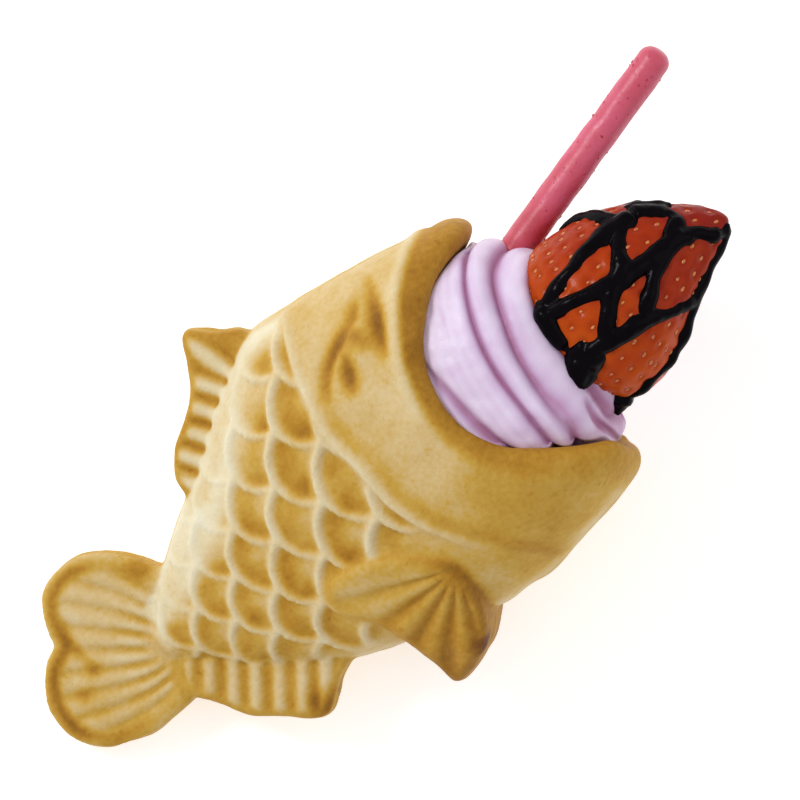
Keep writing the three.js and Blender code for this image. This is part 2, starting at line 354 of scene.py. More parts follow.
dorsalFin = {
    "outline": [(59, 43), (54, 48.8), (47.8, 53.3), (44.2, 47.5), (41.8, 43), (37.8, 39.2), (33.6, 36),
                (28.6, 32.8), (25, 26), (28, 21), (42, 29)],
    "half": 4.6, "acrossRibs": (0.8, 0.6), "firstRib": 42.9, "ribStep": 5.8,
    # the foremost rib leans more than the others, and the fin ends plain ahead of it
    "lean": 0.38, "leanFrom": 43.8, "leanSpan": (60, 66), "plainSpan": (71, 68),
}
analFin = {
    "outline": [(-2.6, -13), (-0.2, -18), (4.9, -26), (11.8, -31.9), (20, -37.4), (24.6, -35.6),
                (28.8, -32.3), (33.4, -28.6), (27, -20), (12, -10), (1, -6)],
    "half": 4.6, "acrossRibs": (0.8, -0.6), "firstRib": 22.5, "ribStep": 5.5,
    "toast": (0.56, 0.38), "spot": (22, -34.6, 3.6, 0.3),
}
pectoralFin = {
    "outline": [(42.6, -13), (52.2, -13.8), (58.2, -16.2), (68.4, -23.2), (70.4, -28.5), (69.4, -36),
                (67, -41), (63.8, -44.6), (60.2, -47), (55.2, -48.8), (50.3, -48.4), (49.4, -42.2),
                (47.9, -34.9), (45.4, -27), (40.4, -19.4)],
    # how thick it is: half at the centre, and how that grows along and up
    "centre": (57, -15), "half": 22.6, "slopeAlong": 0.3, "slopeUp": 0.42,
    "rayJoint": (70.5, -27.3), "rayMiddle": 162.5, "rayStep": 19.75, "rayFan": ((148, 160), (246, 256)),
    "rayHeight": 0.65, "rimHeight": 0.35, "grooveDepth": 0.4, "toast": (0.53, 0.71),
    "sideGroove": [(68.5, -24), (70.9, -29.3), (70, -35), (65.5, -41.5)],
}


def smoothLoop(corners, perCorner=12):
    corners = np.asarray(corners, float)
    before, after = np.roll(corners, 1, 0), np.roll(corners, -1, 0)
    beyond = np.roll(corners, -2, 0)
    points = []
    for t in np.arange(perCorner) / perCorner:
        points.append(onCurve(before, corners, after, beyond, t))
    return np.stack(points, axis=1).reshape(-1, 2)


def tailOutline():
    turn = math.radians(tail["angle"])
    out = np.array([math.cos(turn), math.sin(turn)])
    side = np.array([math.sin(turn), -math.cos(turn)])
    ventral = [(far, -aside) for far, aside in reversed(tail["ventralLobe"])]
    edge = np.array(tail["dorsalLobe"] + [tail["notch"]] + ventral, float)
    return smoothLoop(np.array(tail["root"]) + edge[:, :1] * out + edge[:, 1:] * side)


def pectoralHalf(along, up):
    return (pectoralFin["half"] + pectoralFin["slopeAlong"] * (along - pectoralFin["centre"][0])
            + pectoralFin["slopeUp"] * (up - pectoralFin["centre"][1]))


# true where a point is inside the closed loop
def insideLoop(loop, points):
    inside = np.zeros(len(points), bool)
    for (ax, ay), (bx, by) in zip(loop, np.roll(loop, -1, 0)):
        crosses = (ay > points[:, 1]) != (by > points[:, 1])
        reach = (bx - ax) * (points[:, 1] - ay) / (by - ay + 1e-12) + ax
        inside ^= crosses & (points[:, 0] < reach)
    return inside


# distance in the fish's plane to the loop, more than zero inside it
def loopDistance(loop, points):
    nearest = np.full(len(points), 1e9)
    for a, b in zip(loop, np.roll(loop, -1, 0)):
        way = b - a
        t = np.clip(((points - a) @ way) / (way @ way + 1e-12), 0, 1)
        nearest = np.minimum(nearest, np.linalg.norm(points - a - t[:, None] * way, axis=1))
    return np.where(insideLoop(loop, points), nearest, -nearest)


# a plate on both sides of the middle plane, with rounded edges and fanned caps
def finShell(loop, halfAt):
    edge = finEdge["radius"]
    way = np.roll(loop, -1, 0) - np.roll(loop, 1, 0)
    area = np.sum(loop[:, 0] * np.roll(loop[:, 1], -1) - np.roll(loop[:, 0], -1) * loop[:, 1]) / 2
    normal = np.stack([way[:, 1], -way[:, 0]], axis=1) * np.sign(area)
    normal /= np.linalg.norm(normal, axis=1)[:, None]
    rings = []
    for turn in np.linspace(0, math.pi, finEdge["rows"]):
        flat = loop - normal * edge * (1 - math.sin(turn))
        half = halfAt(flat[:, 0], flat[:, 1]) - edge * (1 - abs(math.cos(turn)))
        ring = np.column_stack([flat, -np.sign(math.cos(turn)) * half])
        rings.append(ring if area > 0 else ring[::-1])
    middle = loop.mean(0)
    half = float(halfAt(middle[0], middle[1]))
    return ringSkin(rings, (*middle, -half), (*middle, half))


def evenHalf(fin):
    return lambda along, up: np.full_like(along, fin["half"])


# how far out the body's flank lies at a place in the fish's plane
def bodySurface(u, v):
    top, bottom, side = sectionAt(u)
    ratio = np.abs(v - (top + bottom) / 2) / ((top - bottom) / 2)
    flank = side * np.maximum(1 - ratio ** body["roundness"], 0) ** (1 / body["roundness"])
    return flank * np.sqrt(1 - (np.maximum(sections[0, 0] - u, 0) / body["tailCap"]).clip(0, 1) ** 2)


# the mould's relief: heights in millimetres over the plain form, and toast from 0, pale, to 1, burnt
scales = {
    "rowStep": 8, "step": 12.4, "first": 1.4, "apexBack": 6.4, "radiusAlong": 8, "radiusUp": 8.6,
    "sizeAtTail": 0.85, "growth": 0.0085, "shift": 0.3, "lean": 0.06, "squeeze": 0.005,
    "ridgeAt": 0.6, "ridgeWidth": 0.98, "ridgeHeight": 0.6375,
    # each scale's ridge is bolder on its dorsal side: from where, and what is left on the other side
    "dorsalSide": (-6, 1.5), "ventralStrength": 0.34, "widths": (0.7, 1.1),
    # the hollow deepens over the first depths inside a scale's edge and rises over the second ones
    "hollowStart": (0.4, 2), "hollowEnd": (2.6, 10.5), "hollowRise": 0.85, "hollowDepth": 0.7225,
    # they fade in along the fish and out at its edges
    "fadeIn": (-0.5, 4), "fadeOut": (0.84, 0.97),
    # the back is paler: from which share of the height, which grows along the fish, and how far along
    "paleFrom": -0.1, "paleGrowth": 0.012, "paleSpan": 0.42, "paleEnd": (50, 68), "paleHeight": 0.6,
    # the hollows are browner than the flats: partly the batter's own toast, partly painted shade in the
    # recesses
    "toast": {"flat": 0.38, "hollow": 0.69, "ridge": 0.25, "paleShare": 0.32, "bare": 0.05, "belly": 0.36},
    "patches": [(0.05, 9, 5)],
}
gill = {
    "line": [(-45, 90), (-32, 81.8), (-23.5, 75.7), (-14.3, 69.8), (-10, 68.5), (-5.9, 67.3), (-2.3, 67.2),
             (4.3, 66.7), (10.6, 65.5), (15.8, 65.2), (28, 66.8), (40, 70)],
    # bands beside the line: how far ahead of it, how wide, how high or how much browner
    "ridge": (0.4, 1.25, 1), "groove": (-2.2, 1.3, -0.5), "secondRidge": (4.2, 1, 0.35),
    "paleBand": (0.4, 1.3, -0.17), "goldBand": (4, 2.2, 0.12),
    # where along the line they are: the ridge fades in, the second one fades in and out again
    "ridgeSpan": (-34, -8), "secondSpan": ((14, 19), (28, 33)), "goldEnd": (12, 30),
    "cheekHeight": 0.5, "cheekRise": (0, 4), "cheekToast": 0.43, "crownToast": 0.01, "crown": (15, 36),
    # painted shade darkens the head towards the belly and over the lower jaw
    "bellyToast": 0.1, "belly": (-4, -24), "jawToast": 0.07, "jaw": ((76, 90), (0, -12)),
}
# the eye is a low bulge between grooves: each has its line, its width, its depth and how toasted it is
eye = {
    "centre": (82.3, 27), "along": 7.2, "up": 6, "bulge": 0.9,
    "pupilDepth": 0.25, "pupilToast": 0.07, "ringToast": -0.06,
    "grooves": [
        ([(92.6, 36), (91.4, 31.4), (89.6, 27.8), (88.7, 24.8), (88, 21.4)], 2.2, 1.25, 0.5),
        ([(88.1, 34.6), (84.6, 31), (81, 29.6), (77.4, 28), (73.6, 25.4), (71, 21)], 1.9, 0.95, 0.47),
        ([(80.9, 29.2), (84.2, 28.6), (86, 26), (87.2, 22.6)], 2.6, 0.4, 0.32),
        ([(80, 25.8), (78.2, 22.4), (76.6, 18.6)], 2.3, 0.85, 0.5),
    ],
}
# the browned band along the lips: its width and toast by the angle round from the dorsal edge
lips = {
    "width": [(0, 9.6), (15, 8.2), (30, 6.4), (50, 4.6), (65, 3.8), (88, 3.6), (130, 4.6), (180, 6.5)],
    "toast": [(0, 0.71), (60, 0.8), (90, 0.77), (120, 0.7), (180, 0.64)],
    # the throat's toast is its own browning with painted shade in the hollow
    "step": 0.5, "crest": 0.5, "crestAt": 1.8, "crestWidth": 2, "crestPaler": 0.12, "throatToast": 0.96,
    # the lower lip's angles, and how much softer its step and crest are
    "low": (72, 100), "lowStep": 0.6, "lowCrest": 0.85,
}
# the seam where the irons meet, and the batter's own unevenness
batterForm = {
    "seamWidth": 0.75, "seamHeight": 0.35, "seamToast": 0.12, "seamLumps": [(0.6, 9, 4)],
    "lumps": [(0.25, 16, 1), (0.05, 5, 2)], "edgeToast": (0.3, 0.42), "edgeBrowns": (50, 90),
    # the head's relief takes over ahead of the gill's line and under the pectoral fin
    "headFrom": (-2.4, 0), "underFin": ((61, 65), (-13, -17)),
    # burnt spots: place, half axes, strength
    "burns": [((62.8, -45.2, 9), (3.2, 2.2, 3.4), 1), ((27.6, -35, 0), (2, 2, 2.4), 0.6)],
}


# a smooth random field, mostly from -1 to 1, its lumps about as long as size
def waves(points, size, seed, count=14):
    random = np.random.default_rng(seed)
    way = random.normal(size=(count, 3))
    way /= np.linalg.norm(way, axis=1)[:, None]
    pace = tau / size * random.uniform(0.6, 1.5, count)
    phase = points @ (way * pace[:, None]).T + random.uniform(0, tau, count)
    return np.sin(phase).sum(1) / math.sqrt(count)


# unevenness in layers, each with its height, the length of its lumps and its seed
def uneven(points, layers):
    return sum(height * waves(points, size, seed) for height, size, seed in layers)


# the ridge's strength, the depth inside the scale on top, and the scales' size there
def scaleField(u, v):
    size = scales["sizeAtTail"] + scales["growth"] * np.maximum(u, -10)
    along = np.log(size) / scales["growth"]
    up = v + scales["shift"] - scales["lean"] * u
    up = up / size * (1 + scales["squeeze"] * np.abs(up))
    row = np.round(up / scales["rowStep"])
    candidates = []
    for sideways in (-1, 0, 1):
        k = row + sideways
        start = scales["first"] + (k % 2) * scales["step"] / 2 - scales["apexBack"]
        rise = up - k * scales["rowStep"]
        number = np.floor((along - start) / scales["step"])
        for further in (-1, 0, 1):
            apex = start + (number + further) * scales["step"]
            ahead = np.minimum(along - apex - scales["radiusAlong"], 0) / scales["radiusAlong"]
            depth = (1 - np.hypot(ahead, rise / scales["radiusUp"])) * scales["radiusAlong"]
            candidates.append((apex, depth, rise))
    front = np.full(len(u), -1e9)
    inside = np.zeros(len(u))
    for apex, depth, rise in candidates:
        over = (depth > 0) & (apex > front)
        front = np.where(over, apex, front)
        inside = np.where(over, depth, inside)
    ridge = np.zeros(len(u))
    for apex, depth, rise in candidates:
        dorsal = smoothStep(*scales["dorsalSide"], rise)
        strength = mix(scales["ventralStrength"], 1, dorsal) * (apex >= front - 1e-6)
        width = scales["ridgeWidth"] * mix(*scales["widths"], dorsal)
        ridge = np.maximum(ridge, strength * bell(depth - scales["ridgeAt"], width))
    return ridge, inside, size


# ratio runs from -1 at the ventral edge to 1 at the dorsal one
def scaleRelief(u, v, ratio):
    ridge, inside, size = scaleField(u, v)
    hollow = smoothStep(*scales["hollowStart"], inside)
    hollow = hollow * (1 - scales["hollowRise"] * smoothStep(*scales["hollowEnd"], inside))
    shown = smoothStep(*scales["fadeIn"], u) * (1 - smoothStep(*scales["fadeOut"], np.abs(ratio)))
    paleFrom = scales["paleGrowth"] * u + scales["paleFrom"]
    pale = smoothStep(paleFrom, paleFrom + scales["paleSpan"], ratio)
    pale = pale * (1 - smoothStep(*scales["paleEnd"], u))
    height = (ridge * scales["ridgeHeight"] - hollow * scales["hollowDepth"]) * size
    height = height * mix(1, scales["paleHeight"], pale)
    toasts = scales["toast"]
    patches = uneven(np.stack([u, v, v], axis=1), scales["patches"])
    # browner in the hollows: the batter's own toast and painted shade
    toast = mix(toasts["flat"], toasts["hollow"], hollow) + patches * hollow
    toast = mix(toast, toasts["ridge"], np.clip(ridge * 1.1, 0, 1))
    toast = mix(toast, toasts["paleShare"] * toast, pale)
    bare = toasts["bare"] + toasts["belly"] * smoothStep(0, -0.85, ratio)
    return height * shown, mix(bare, toast, shown)


# 1 along a drawn line, falling off over its width and thinning towards its ends
def strokeField(line, u, v, width):
    line = throughPoints(line, 0.25)
    best = np.zeros(len(u))
    share = np.linspace(0, 1, len(line))
    for index, (a, b) in enumerate(zip(line, line[1:])):
        way = b - a
        t = np.clip(((u - a[0]) * way[0] + (v - a[1]) * way[1]) / (way @ way), 0, 1)
        gap = np.hypot(u - a[0] - t * way[0], v - a[1] - t * way[1])
        along = mix(share[index], share[index + 1], t)
        taper = np.sin(math.pi * mix(0.08, 0.92, along)) ** 0.7
        best = np.maximum(best, taper * bell(gap, width * mix(0.6, 1, taper)))
    return best


def band(ahead, place, width, amount):
    return amount * bell(ahead - place, width)


# height and toast of the gill cover, cheek and eye, and how far ahead of the gill's line a place is
def headRelief(u, v):
    ahead = u - fromTable(v, gill["line"])
    strong = smoothStep(*gill["ridgeSpan"], v)
    height = strong * (band(ahead, *gill["ridge"]) + band(ahead, *gill["groove"]))
    height += window(v, *gill["secondSpan"]) * band(ahead, *gill["secondRidge"])
    height += gill["cheekHeight"] * smoothStep(*gill["cheekRise"], ahead)
    # the cheek is painted darker towards the belly and the lower lip, as painted shade
    toast = gill["cheekToast"] + gill["crownToast"] * smoothStep(*gill["crown"], v)
    toast += gill["bellyToast"] * smoothStep(*gill["belly"], v)
    jawAlong, jawUp = gill["jaw"]
    toast += gill["jawToast"] * smoothStep(*jawAlong, u) * smoothStep(*jawUp, v)
    toast += strong * band(ahead, *gill["paleBand"])
    toast += band(ahead, *gill["goldBand"]) * (1 - smoothStep(*gill["goldEnd"], v))

    # out is 1 at the eye's rim
    out = np.hypot((u - eye["centre"][0]) / eye["along"], (v - eye["centre"][1]) / eye["up"])
    height += eye["bulge"] * (1 - smoothStep(0.3, 1.1, out)) - eye["pupilDepth"] * bell(out, 0.3)
    toast += eye["pupilToast"] * bell(out, 0.35) + eye["ringToast"] * bell(out - 0.75, 0.25)
    carved, browned = np.zeros(len(u)), np.zeros(len(u))
    for line, width, depth, brown in eye["grooves"]:
        groove = strokeField(line, u, v, width)
        carved = np.maximum(carved, depth * groove)
        browned = np.maximum(browned, brown * groove)
    return height - carved, toast + browned, ahead


# wide ribs with narrow grooves between them, from 1 on a rib to -1 in a groove
def ribbed(phase, sharpness):
    return 1 - 2 * (0.5 - 0.5 * np.cos(phase)) ** sharpness


# distance and direction in degrees from where a fin's rays meet
def fromJoint(joint, u, v):
    along, up = u - joint[0], v - joint[1]
    return np.hypot(along, up), np.degrees(np.arctan2(up, along)) % 360


# edge is how far inside the fin's outline a place is
def tailRelief(u, v, edge):
    reach, angle = fromJoint(tail["rayJoint"], u, v)
    # the rays leave the joint like a fan and turn in line with the tail farther out
    swing = (angle - tail["rayMiddle"]) * (np.maximum(reach, 5) / 14) ** tail["rayTurn"]
    sharpness = mix(1.1, 2.2, smoothStep(6, 16, reach))
    ray = ribbed(tau * (swing + tail["rayShift"]) / tail["rayStep"], sharpness)
    fan = smoothStep(*tail["rayFromEdge"], edge) * smoothStep(*tail["rayFromJoint"], reach)
    outer = smoothStep(*tail["crescentFrom"], reach)
    inside, width = tail["crescent"]
    crescent = bell(edge - inside, width) * outer * mix(0.3, 1, smoothStep(12, 21, 0.6 * v - 0.8 * u))
    inward = strokeField(tail["notchGroove"], u, v, tail["grooveWidth"])
    height = mix(*tail["rayHeights"], smoothStep(8, 18, reach)) * ray * fan * (1 - inward)
    height = height + tail["rimHeight"] * (1 - smoothStep(*tail["rim"], edge))
    height = height - tail["crescentDepth"] * crescent - tail["grooveDepth"] * inward
    near, nearWidth = tail["nearSpan"]
    paler = 0.06 + tail["nearToast"] * bell(reach - near, nearWidth)
    toast = mix(*tail["toast"], smoothStep(-8, 12, v)) - paler * ray * fan
    toast += tail["crescentToast"] * crescent + tail["grooveToast"] * inward
    for spotU, spotV, size, brown in tail["spots"]:
        toast += brown * bell(np.hypot(u - spotU, (v - spotV) * 1.4), size)
    return height, toast


def acrossRibs(fin, u, v):
    return fin["acrossRibs"][0] * u + fin["acrossRibs"][1] * v


ribs = {"sharpness": 1.3, "height": 0.7, "toast": 0.5, "paler": 0.27, "rimToast": 0.14}


# straight ribs across a fin; they fade out at its edge
def ribRelief(fin, across, edge):
    rib = ribbed(tau * (across - fin["firstRib"]) / fin["ribStep"], ribs["sharpness"])
    inner = smoothStep(1, 3, edge)
    toast = ribs["toast"] - ribs["paler"] * rib * inner + ribs["rimToast"] * (1 - inner)
    return ribs["height"] * rib * inner, toast


def dorsalRelief(u, v, edge):
    across = acrossRibs(dorsalFin, u, v)
    across -= dorsalFin["lean"] * (v - dorsalFin["leanFrom"]) * smoothStep(*dorsalFin["leanSpan"], across)
    height, toast = ribRelief(dorsalFin, across, edge + 4 * smoothStep(*dorsalFin["plainSpan"], across) - 4)
    return height, toast + 0.06 * smoothStep(64, 70, across)


def analRelief(u, v, edge):
    height, toast = ribRelief(analFin, acrossRibs(analFin, u, v), edge)
    spotU, spotV, size, brown = analFin["spot"]
    return height, mix(toast, *analFin["toast"]) + brown * bell(np.hypot(u - spotU, v - spotV), size)


def pectoralRelief(u, v, edge):
    reach, angle = fromJoint(pectoralFin["rayJoint"], u, v)
    angle = np.where(angle < 90, angle + 360, angle)
    ray = -ribbed(tau * (angle - pectoralFin["rayMiddle"]) / pectoralFin["rayStep"] + math.pi, 1.2)
    fan = window(angle, *pectoralFin["rayFan"]) * smoothStep(1, 7, reach) * smoothStep(0, 3, edge)
    side = strokeField(pectoralFin["sideGroove"], u, v, 1.6)
    height = pectoralFin["rimHeight"] * (1 - smoothStep(148, 158, angle))
    height = height - pectoralFin["rayHeight"] * ray * fan - pectoralFin["grooveDepth"] * side
    browned = np.maximum(smoothStep(-18, -38, v), smoothStep(60, 69, u))
    toast = mix(*pectoralFin["toast"], browned) + 0.08 * ray * fan + 0.04 * (1 - smoothStep(1, 4, edge))
    # the side groove is painted darker, as painted shade along the fin's edge by the jaw; the fin's lowest
    # part is darker too
    toast += 0.1 * side + 0.08 * smoothStep(-38, -45, v)
    return height, toast


# each fin's outline, half thickness, relief, and how toasted its rim is
fins = {
    "tail": (tailOutline(), evenHalf(tail), tailRelief, 0.6),
    "dorsal": (smoothLoop(dorsalFin["outline"]), evenHalf(dorsalFin), dorsalRelief, 0.6),
    "anal": (smoothLoop(analFin["outline"]), evenHalf(analFin), analRelief, 0.6),
    "pectoral": (smoothLoop(pectoralFin["outline"]), pectoralHalf, pectoralRelief, 0.78),
}


# how far the mould's relief moves each point of the plain form, how toasted and how burnt it is
def pressed(points, normals):
    u, v, w = points.T
    form = batterForm
    top, bottom, side = sectionAt(u)
    ratio = (v - (top + bottom) / 2) / ((top - bottom) / 2)
    power = body["roundness"]
    # level is 1 on the body's outer wall and less inside it; flank is 0 where the irons meet
    level = (np.abs(ratio) ** power + np.abs(w / side) ** power) ** (1 / power)
    flank = smoothStep(0.15, 0.5, np.abs(normals[:, 2]))
    height, toast = scaleRelief(u, v, ratio)
    headHeight, headToast, ahead = headRelief(u, v)
    underAlong, underUp = form["underFin"]
    under = smoothStep(*underAlong, u) * smoothStep(*underUp, v)
    head = np.maximum(smoothStep(*form["headFrom"], ahead), under)
    height = mix(height, headHeight, head) * flank
    toast = mix(toast, headToast, head)
    toast = mix(mix(*form["edgeToast"], smoothStep(*form["edgeBrowns"], u)), toast, flank)

    proud = np.abs(w) - bodySurface(u, v)
    for name, (loop, _, relief, rimToast) in fins.items():
        near = np.all((points[:, :2] > loop.min(0) - 3) & (points[:, :2] < loop.max(0) + 3), axis=1)
        edge = np.full(len(u), -3.0)
        edge[near] = loopDistance(loop, points[near, :2])
        onFin = smoothStep(-0.4, 0.9, proud) * smoothStep(-2.6, -0.6, edge)
        if name == "tail":
            onFin = np.maximum(onFin, (1 - smoothStep(-1, 3, u)) * (edge > -2) * (proud > -3))
        finHeight, finToast = relief(u, v, edge)
        height = mix(height, finHeight * flank, onFin)
        toast = mix(toast, mix(rimToast, finToast, flank), onFin)

    # the lips are a step lower than the head, with a crest between the two; inset is how far inside
    # the outer wall a place is, and back how far behind the rim
    inset = (1 - level) * np.hypot(v - (top + bottom) / 2, w) / np.maximum(level, 1e-3)
    turn = np.arctan2(np.abs(w / side) ** (power / 2), np.sign(ratio) * np.abs(ratio) ** (power / 2))
    degrees = np.degrees(turn)
    lipWidth = fromTable(degrees, lips["width"])
    back = rimAt(turn) - u
    low = smoothStep(*lips["low"], degrees)
    browned = smoothStep(lipWidth + 1.2 + 2 * low, lipWidth - 0.8 - low, back)
    inner = np.maximum(smoothStep(0.8, 3, inset), browned) * smoothStep(54, 60, u)
    crest = bell(back - lipWidth - lips["crestAt"], lips["crestWidth"]) * smoothStep(80, 90, u)
    crest = crest * (inset < 1) * (1 - lips["lowCrest"] * low)
    step = -lips["step"] * (1 - lips["lowStep"] * low) * smoothStep(4, 1, inset)
    height = mix(height, step, inner) + lips["crest"] * crest
    toast = mix(toast - lips["crestPaler"] * crest, fromTable(degrees, lips["toast"]), inner)
    # deep in the mouth the batter is painted darkest: its own browning and painted shade in the hollow
    throat = smoothStep(5.6, 7.4, inset) * smoothStep(118, 95, u - 0.08 * np.abs(v))
    toast = mix(toast, lips["throatToast"], inner * throat)

    seam = bell(w, form["seamWidth"]) * (1 - inner) * (level > 0.9)
    height += form["seamHeight"] * seam * (1 + uneven(points, form["seamLumps"]))
    toast += form["seamToast"] * seam
    height += uneven(points, form["lumps"])
    burn = np.zeros(len(u))
    for centre, axes, strength in form["burns"]:
        burn += strength * bell(np.linalg.norm((points - centre) / axes, axis=1), 1)
    return height, np.clip(toast, 0, 1), burn


def makeCone():
    shells = [bodyShell()] + [finShell(loop, halfAt) for loop, halfAt, *_ in fins.values()]
    cone = newPiece("taiyaki_batter", *joinedShells(shells))
    remeshed(cone, body["voxel"])
    mesh = cone.data
    points = soften(mesh, readPoints(mesh), body["softenRounds"])
    writePoints(mesh, points)
    normals = soften(mesh, readNormals(mesh), body["softenNormals"])
    normals /= np.linalg.norm(normals, axis=1)[:, None]
    height, toast, burn = pressed(points, normals)
    height, toast = soften(mesh, np.stack([height, toast], axis=1), 1).T
    placed = toRow(points + normals * height[:, None])
    placed[:, 2] = placed[:, 2].clip(0)  # it rests on the floor and doesn't sink into it
    writePoints(mesh, placed)
    addAttribute(mesh, "toast", toast)
    addAttribute(mesh, "burn", burn)
    mesh.shade_smooth()
    print("cone pressed:", len(mesh.polygons), "faces")
    return cone


cone = makeCone()


# a colour as a painter's program gives it, in Blender's own linear measure
def tone(red, green, blue):
    linear = [c / 3294.6 if c <= 10 else ((c / 255 + 0.055) / 1.055) ** 2.4 for c in (red, green, blue)]
    return (*linear, 1)


# adds a node to a tree, gives its inputs plain values or links, and returns its outputs
def addNode(tree, kind, inputs=(), **settings):
    node = tree.nodes.new(kind)
    for name, value in settings.items():
        setattr(node, name, value)
    for socket, value in dict(inputs).items():
        if isinstance(value, bpy.types.NodeSocket):
            tree.links.new(value, node.inputs[socket])
        else:
            node.inputs[socket].default_value = value
    return node.outputs


# a new node group with its inputs' and outputs' kinds by name
def newGroup(name, kind, inputs, outputs):
    tree = bpy.data.node_groups.new(name, kind)
    for side, sockets in (("INPUT", inputs), ("OUTPUT", outputs)):
        for socket, socketKind in sockets.items():
            tree.interface.new_socket(socket, in_out=side, socket_type=f"NodeSocket{socketKind}")
    return tree, tree.nodes.new("NodeGroupInput").outputs, tree.nodes.new("NodeGroupOutput").inputs


# patches and finer grain, both from 0 to 1, for every food's colour and skin
def makeMottle():
    tree, given, result = newGroup(
        "mottle", "ShaderNodeTree", {"Patch size": "Float", "Grain size": "Float"},
        {"Patches": "Float", "Grain": "Float"},
    )
    place = addNode(tree, "ShaderNodeTexCoord")["Object"]
    for size, value, detail in (("Patch size", "Patches", 3), ("Grain size", "Grain", 2)):
        pace = addNode(tree, "ShaderNodeMath", {0: 1, 1: given[size]}, operation="DIVIDE")[0]
        noise = addNode(tree, "ShaderNodeTexNoise", {"Detail": detail, "Vector": place, "Scale": pace})
        tree.links.new(noise["Fac"], result[value])
    return tree


mottle = makeMottle()
noiseSpan = (0.3, 0.7)  # nearly all of a noise's values lie between these


# a small kit round one material's node tree; values are one piece's own dictionary
class Finish:
    def __init__(self, name, **shader):
        self.material = bpy.data.materials.new(name)
        self.material.use_nodes = True
        self.tree = self.material.node_tree
        self.shader = self.tree.nodes["Principled BSDF"]
        for socket, value in shader.items():
            self.shader.inputs[socket.replace("_", " ")].default_value = value

    def mottled(self, patch, grain):
        sizes = {"Patch size": patch * mm, "Grain size": grain * mm}
        outputs = addNode(self.tree, "ShaderNodeGroup", sizes, node_tree=mottle)
        return outputs["Patches"], outputs["Grain"]

    def stored(self, name):
        return addNode(self.tree, "ShaderNodeAttribute", attribute_name=name)["Fac"]

    def math(self, operation, *values):
        return addNode(self.tree, "ShaderNodeMath", enumerate(values), operation=operation)[0]

    def span(self, value, low, high, start=0.0, end=1.0):
        return addNode(self.tree, "ShaderNodeMapRange", enumerate((value, low, high, start, end)))[0]

    # a noise spread from start to end
    def spread(self, noise, start, end):
        return self.span(noise, *noiseSpan, start, end)

    def ramp(self, value, stops):
        outputs = addNode(self.tree, "ShaderNodeValToRGB", {0: value})
        marks = outputs[0].node.color_ramp.elements
        while len(marks) < len(stops):
            marks.new(0.5)
        for mark, (position, colour) in zip(marks, stops):
            mark.position = position
            mark.color = tone(*colour)
        return outputs[0]

    # a colour with the grain in its roughness and its surface
    def grained(self, colour, grain, values, gloss=None):
        roughness = self.spread(gloss or grain, *values["roughness"])
        return self.done(colour, roughness, self.bump(grain, values["grainDepth"]))

    # two tones of one colour over a noise
    def twoTones(self, noise, first, second):
        return self.ramp(noise, list(zip(noiseSpan, (first, second))))

    def blend(self, share, first, second):
        return addNode(self.tree, "ShaderNodeMix", {0: share, 6: first, 7: second}, data_type="RGBA")[2]

    def bump(self, height, depth, before=None):
        inputs = {"Distance": depth * mm, "Height": height}
        if before is not None:
            inputs["Normal"] = before
        return addNode(self.tree, "ShaderNodeBump", inputs)[0]

    # sets what the material shows and gives it back; numbers go straight to the shader's own sockets
    def done(self, colour, roughness, normal=None):
        for socket, value in (("Base Color", colour), ("Roughness", roughness), ("Normal", normal)):
            if isinstance(value, bpy.types.NodeSocket):
                self.tree.links.new(value, self.shader.inputs[socket])
            elif value is not None:
                self.shader.inputs[socket].default_value = value
        return self.material


batter = {
    # colours by toast, from pale to burnt
    "ramp": [
        (0, (233, 226, 201)), (0.17, (227, 214, 178)), (0.4, (214, 186, 130)), (0.56, (201, 160, 66)),
        (0.7, (184, 134, 38)), (0.8, (162, 113, 26)), (0.9, (140, 93, 18)), (1, (84, 50, 12)),
    ],
    "burnt": (92, 42, 10),
    # sizes and depths in millimetres
    "patch": 9, "grain": 1.3, "fleck": 2.6, "dust": 0.45, "pore": 2.4, "roughness": (0.56, 0.72),
    "poreDepth": 0.07, "grainDepth": 0.14, "dustDepth": 0.1,
    # how much each makes the toast vary
    "patchToast": 0.055, "grainToast": 0.035, "fleckToast": 0.07,
    # from where in their noise the flecks, the char and the pores' rims begin and are full
    "fleckFrom": (0.64, 0.8), "charFrom": (0.34, 0.56), "charStrength": (0.6, 1.5),
    "charFade": (0.1, 1.1), "poreRim": (0.04, 0.2),
}


def makeBatterFinish():
    finish = Finish("baked_batter", Specular_IOR_Level=0.25)
    patches, grain = finish.mottled(batter["patch"], batter["grain"])
    fleck, dust = finish.mottled(batter["fleck"], batter["dust"])
    toast = finish.stored("toast")
    for noise, amount in ((patches, batter["patchToast"]), (grain, batter["grainToast"])):
        toast = finish.math("ADD", toast, finish.spread(noise, -amount, amount))
    toast = finish.math("ADD", toast, finish.span(fleck, *batter["fleckFrom"], 0, batter["fleckToast"]))
    colour = finish.ramp(toast, batter["ramp"])
    char = finish.span(fleck, *batter["charFrom"], *batter["charStrength"])
    charred = finish.span(finish.math("MULTIPLY", finish.stored("burn"), char), *batter["charFade"])
    colour = finish.blend(charred, colour, tone(*batter["burnt"]))
    place = addNode(finish.tree, "ShaderNodeTexCoord")["Object"]
    spacing = {"Scale": 1 / (batter["pore"] * mm), "Vector": place}
    pores = addNode(finish.tree, "ShaderNodeTexVoronoi", spacing)["Distance"]
    normal = finish.bump(finish.span(pores, *batter["poreRim"]), batter["poreDepth"])
    normal = finish.bump(grain, batter["grainDepth"], normal)
    normal = finish.bump(dust, batter["dustDepth"], normal)
    return finish.done(colour, finish.spread(patches, *batter["roughness"]), normal)


cone.data.materials.append(makeBatterFinish())


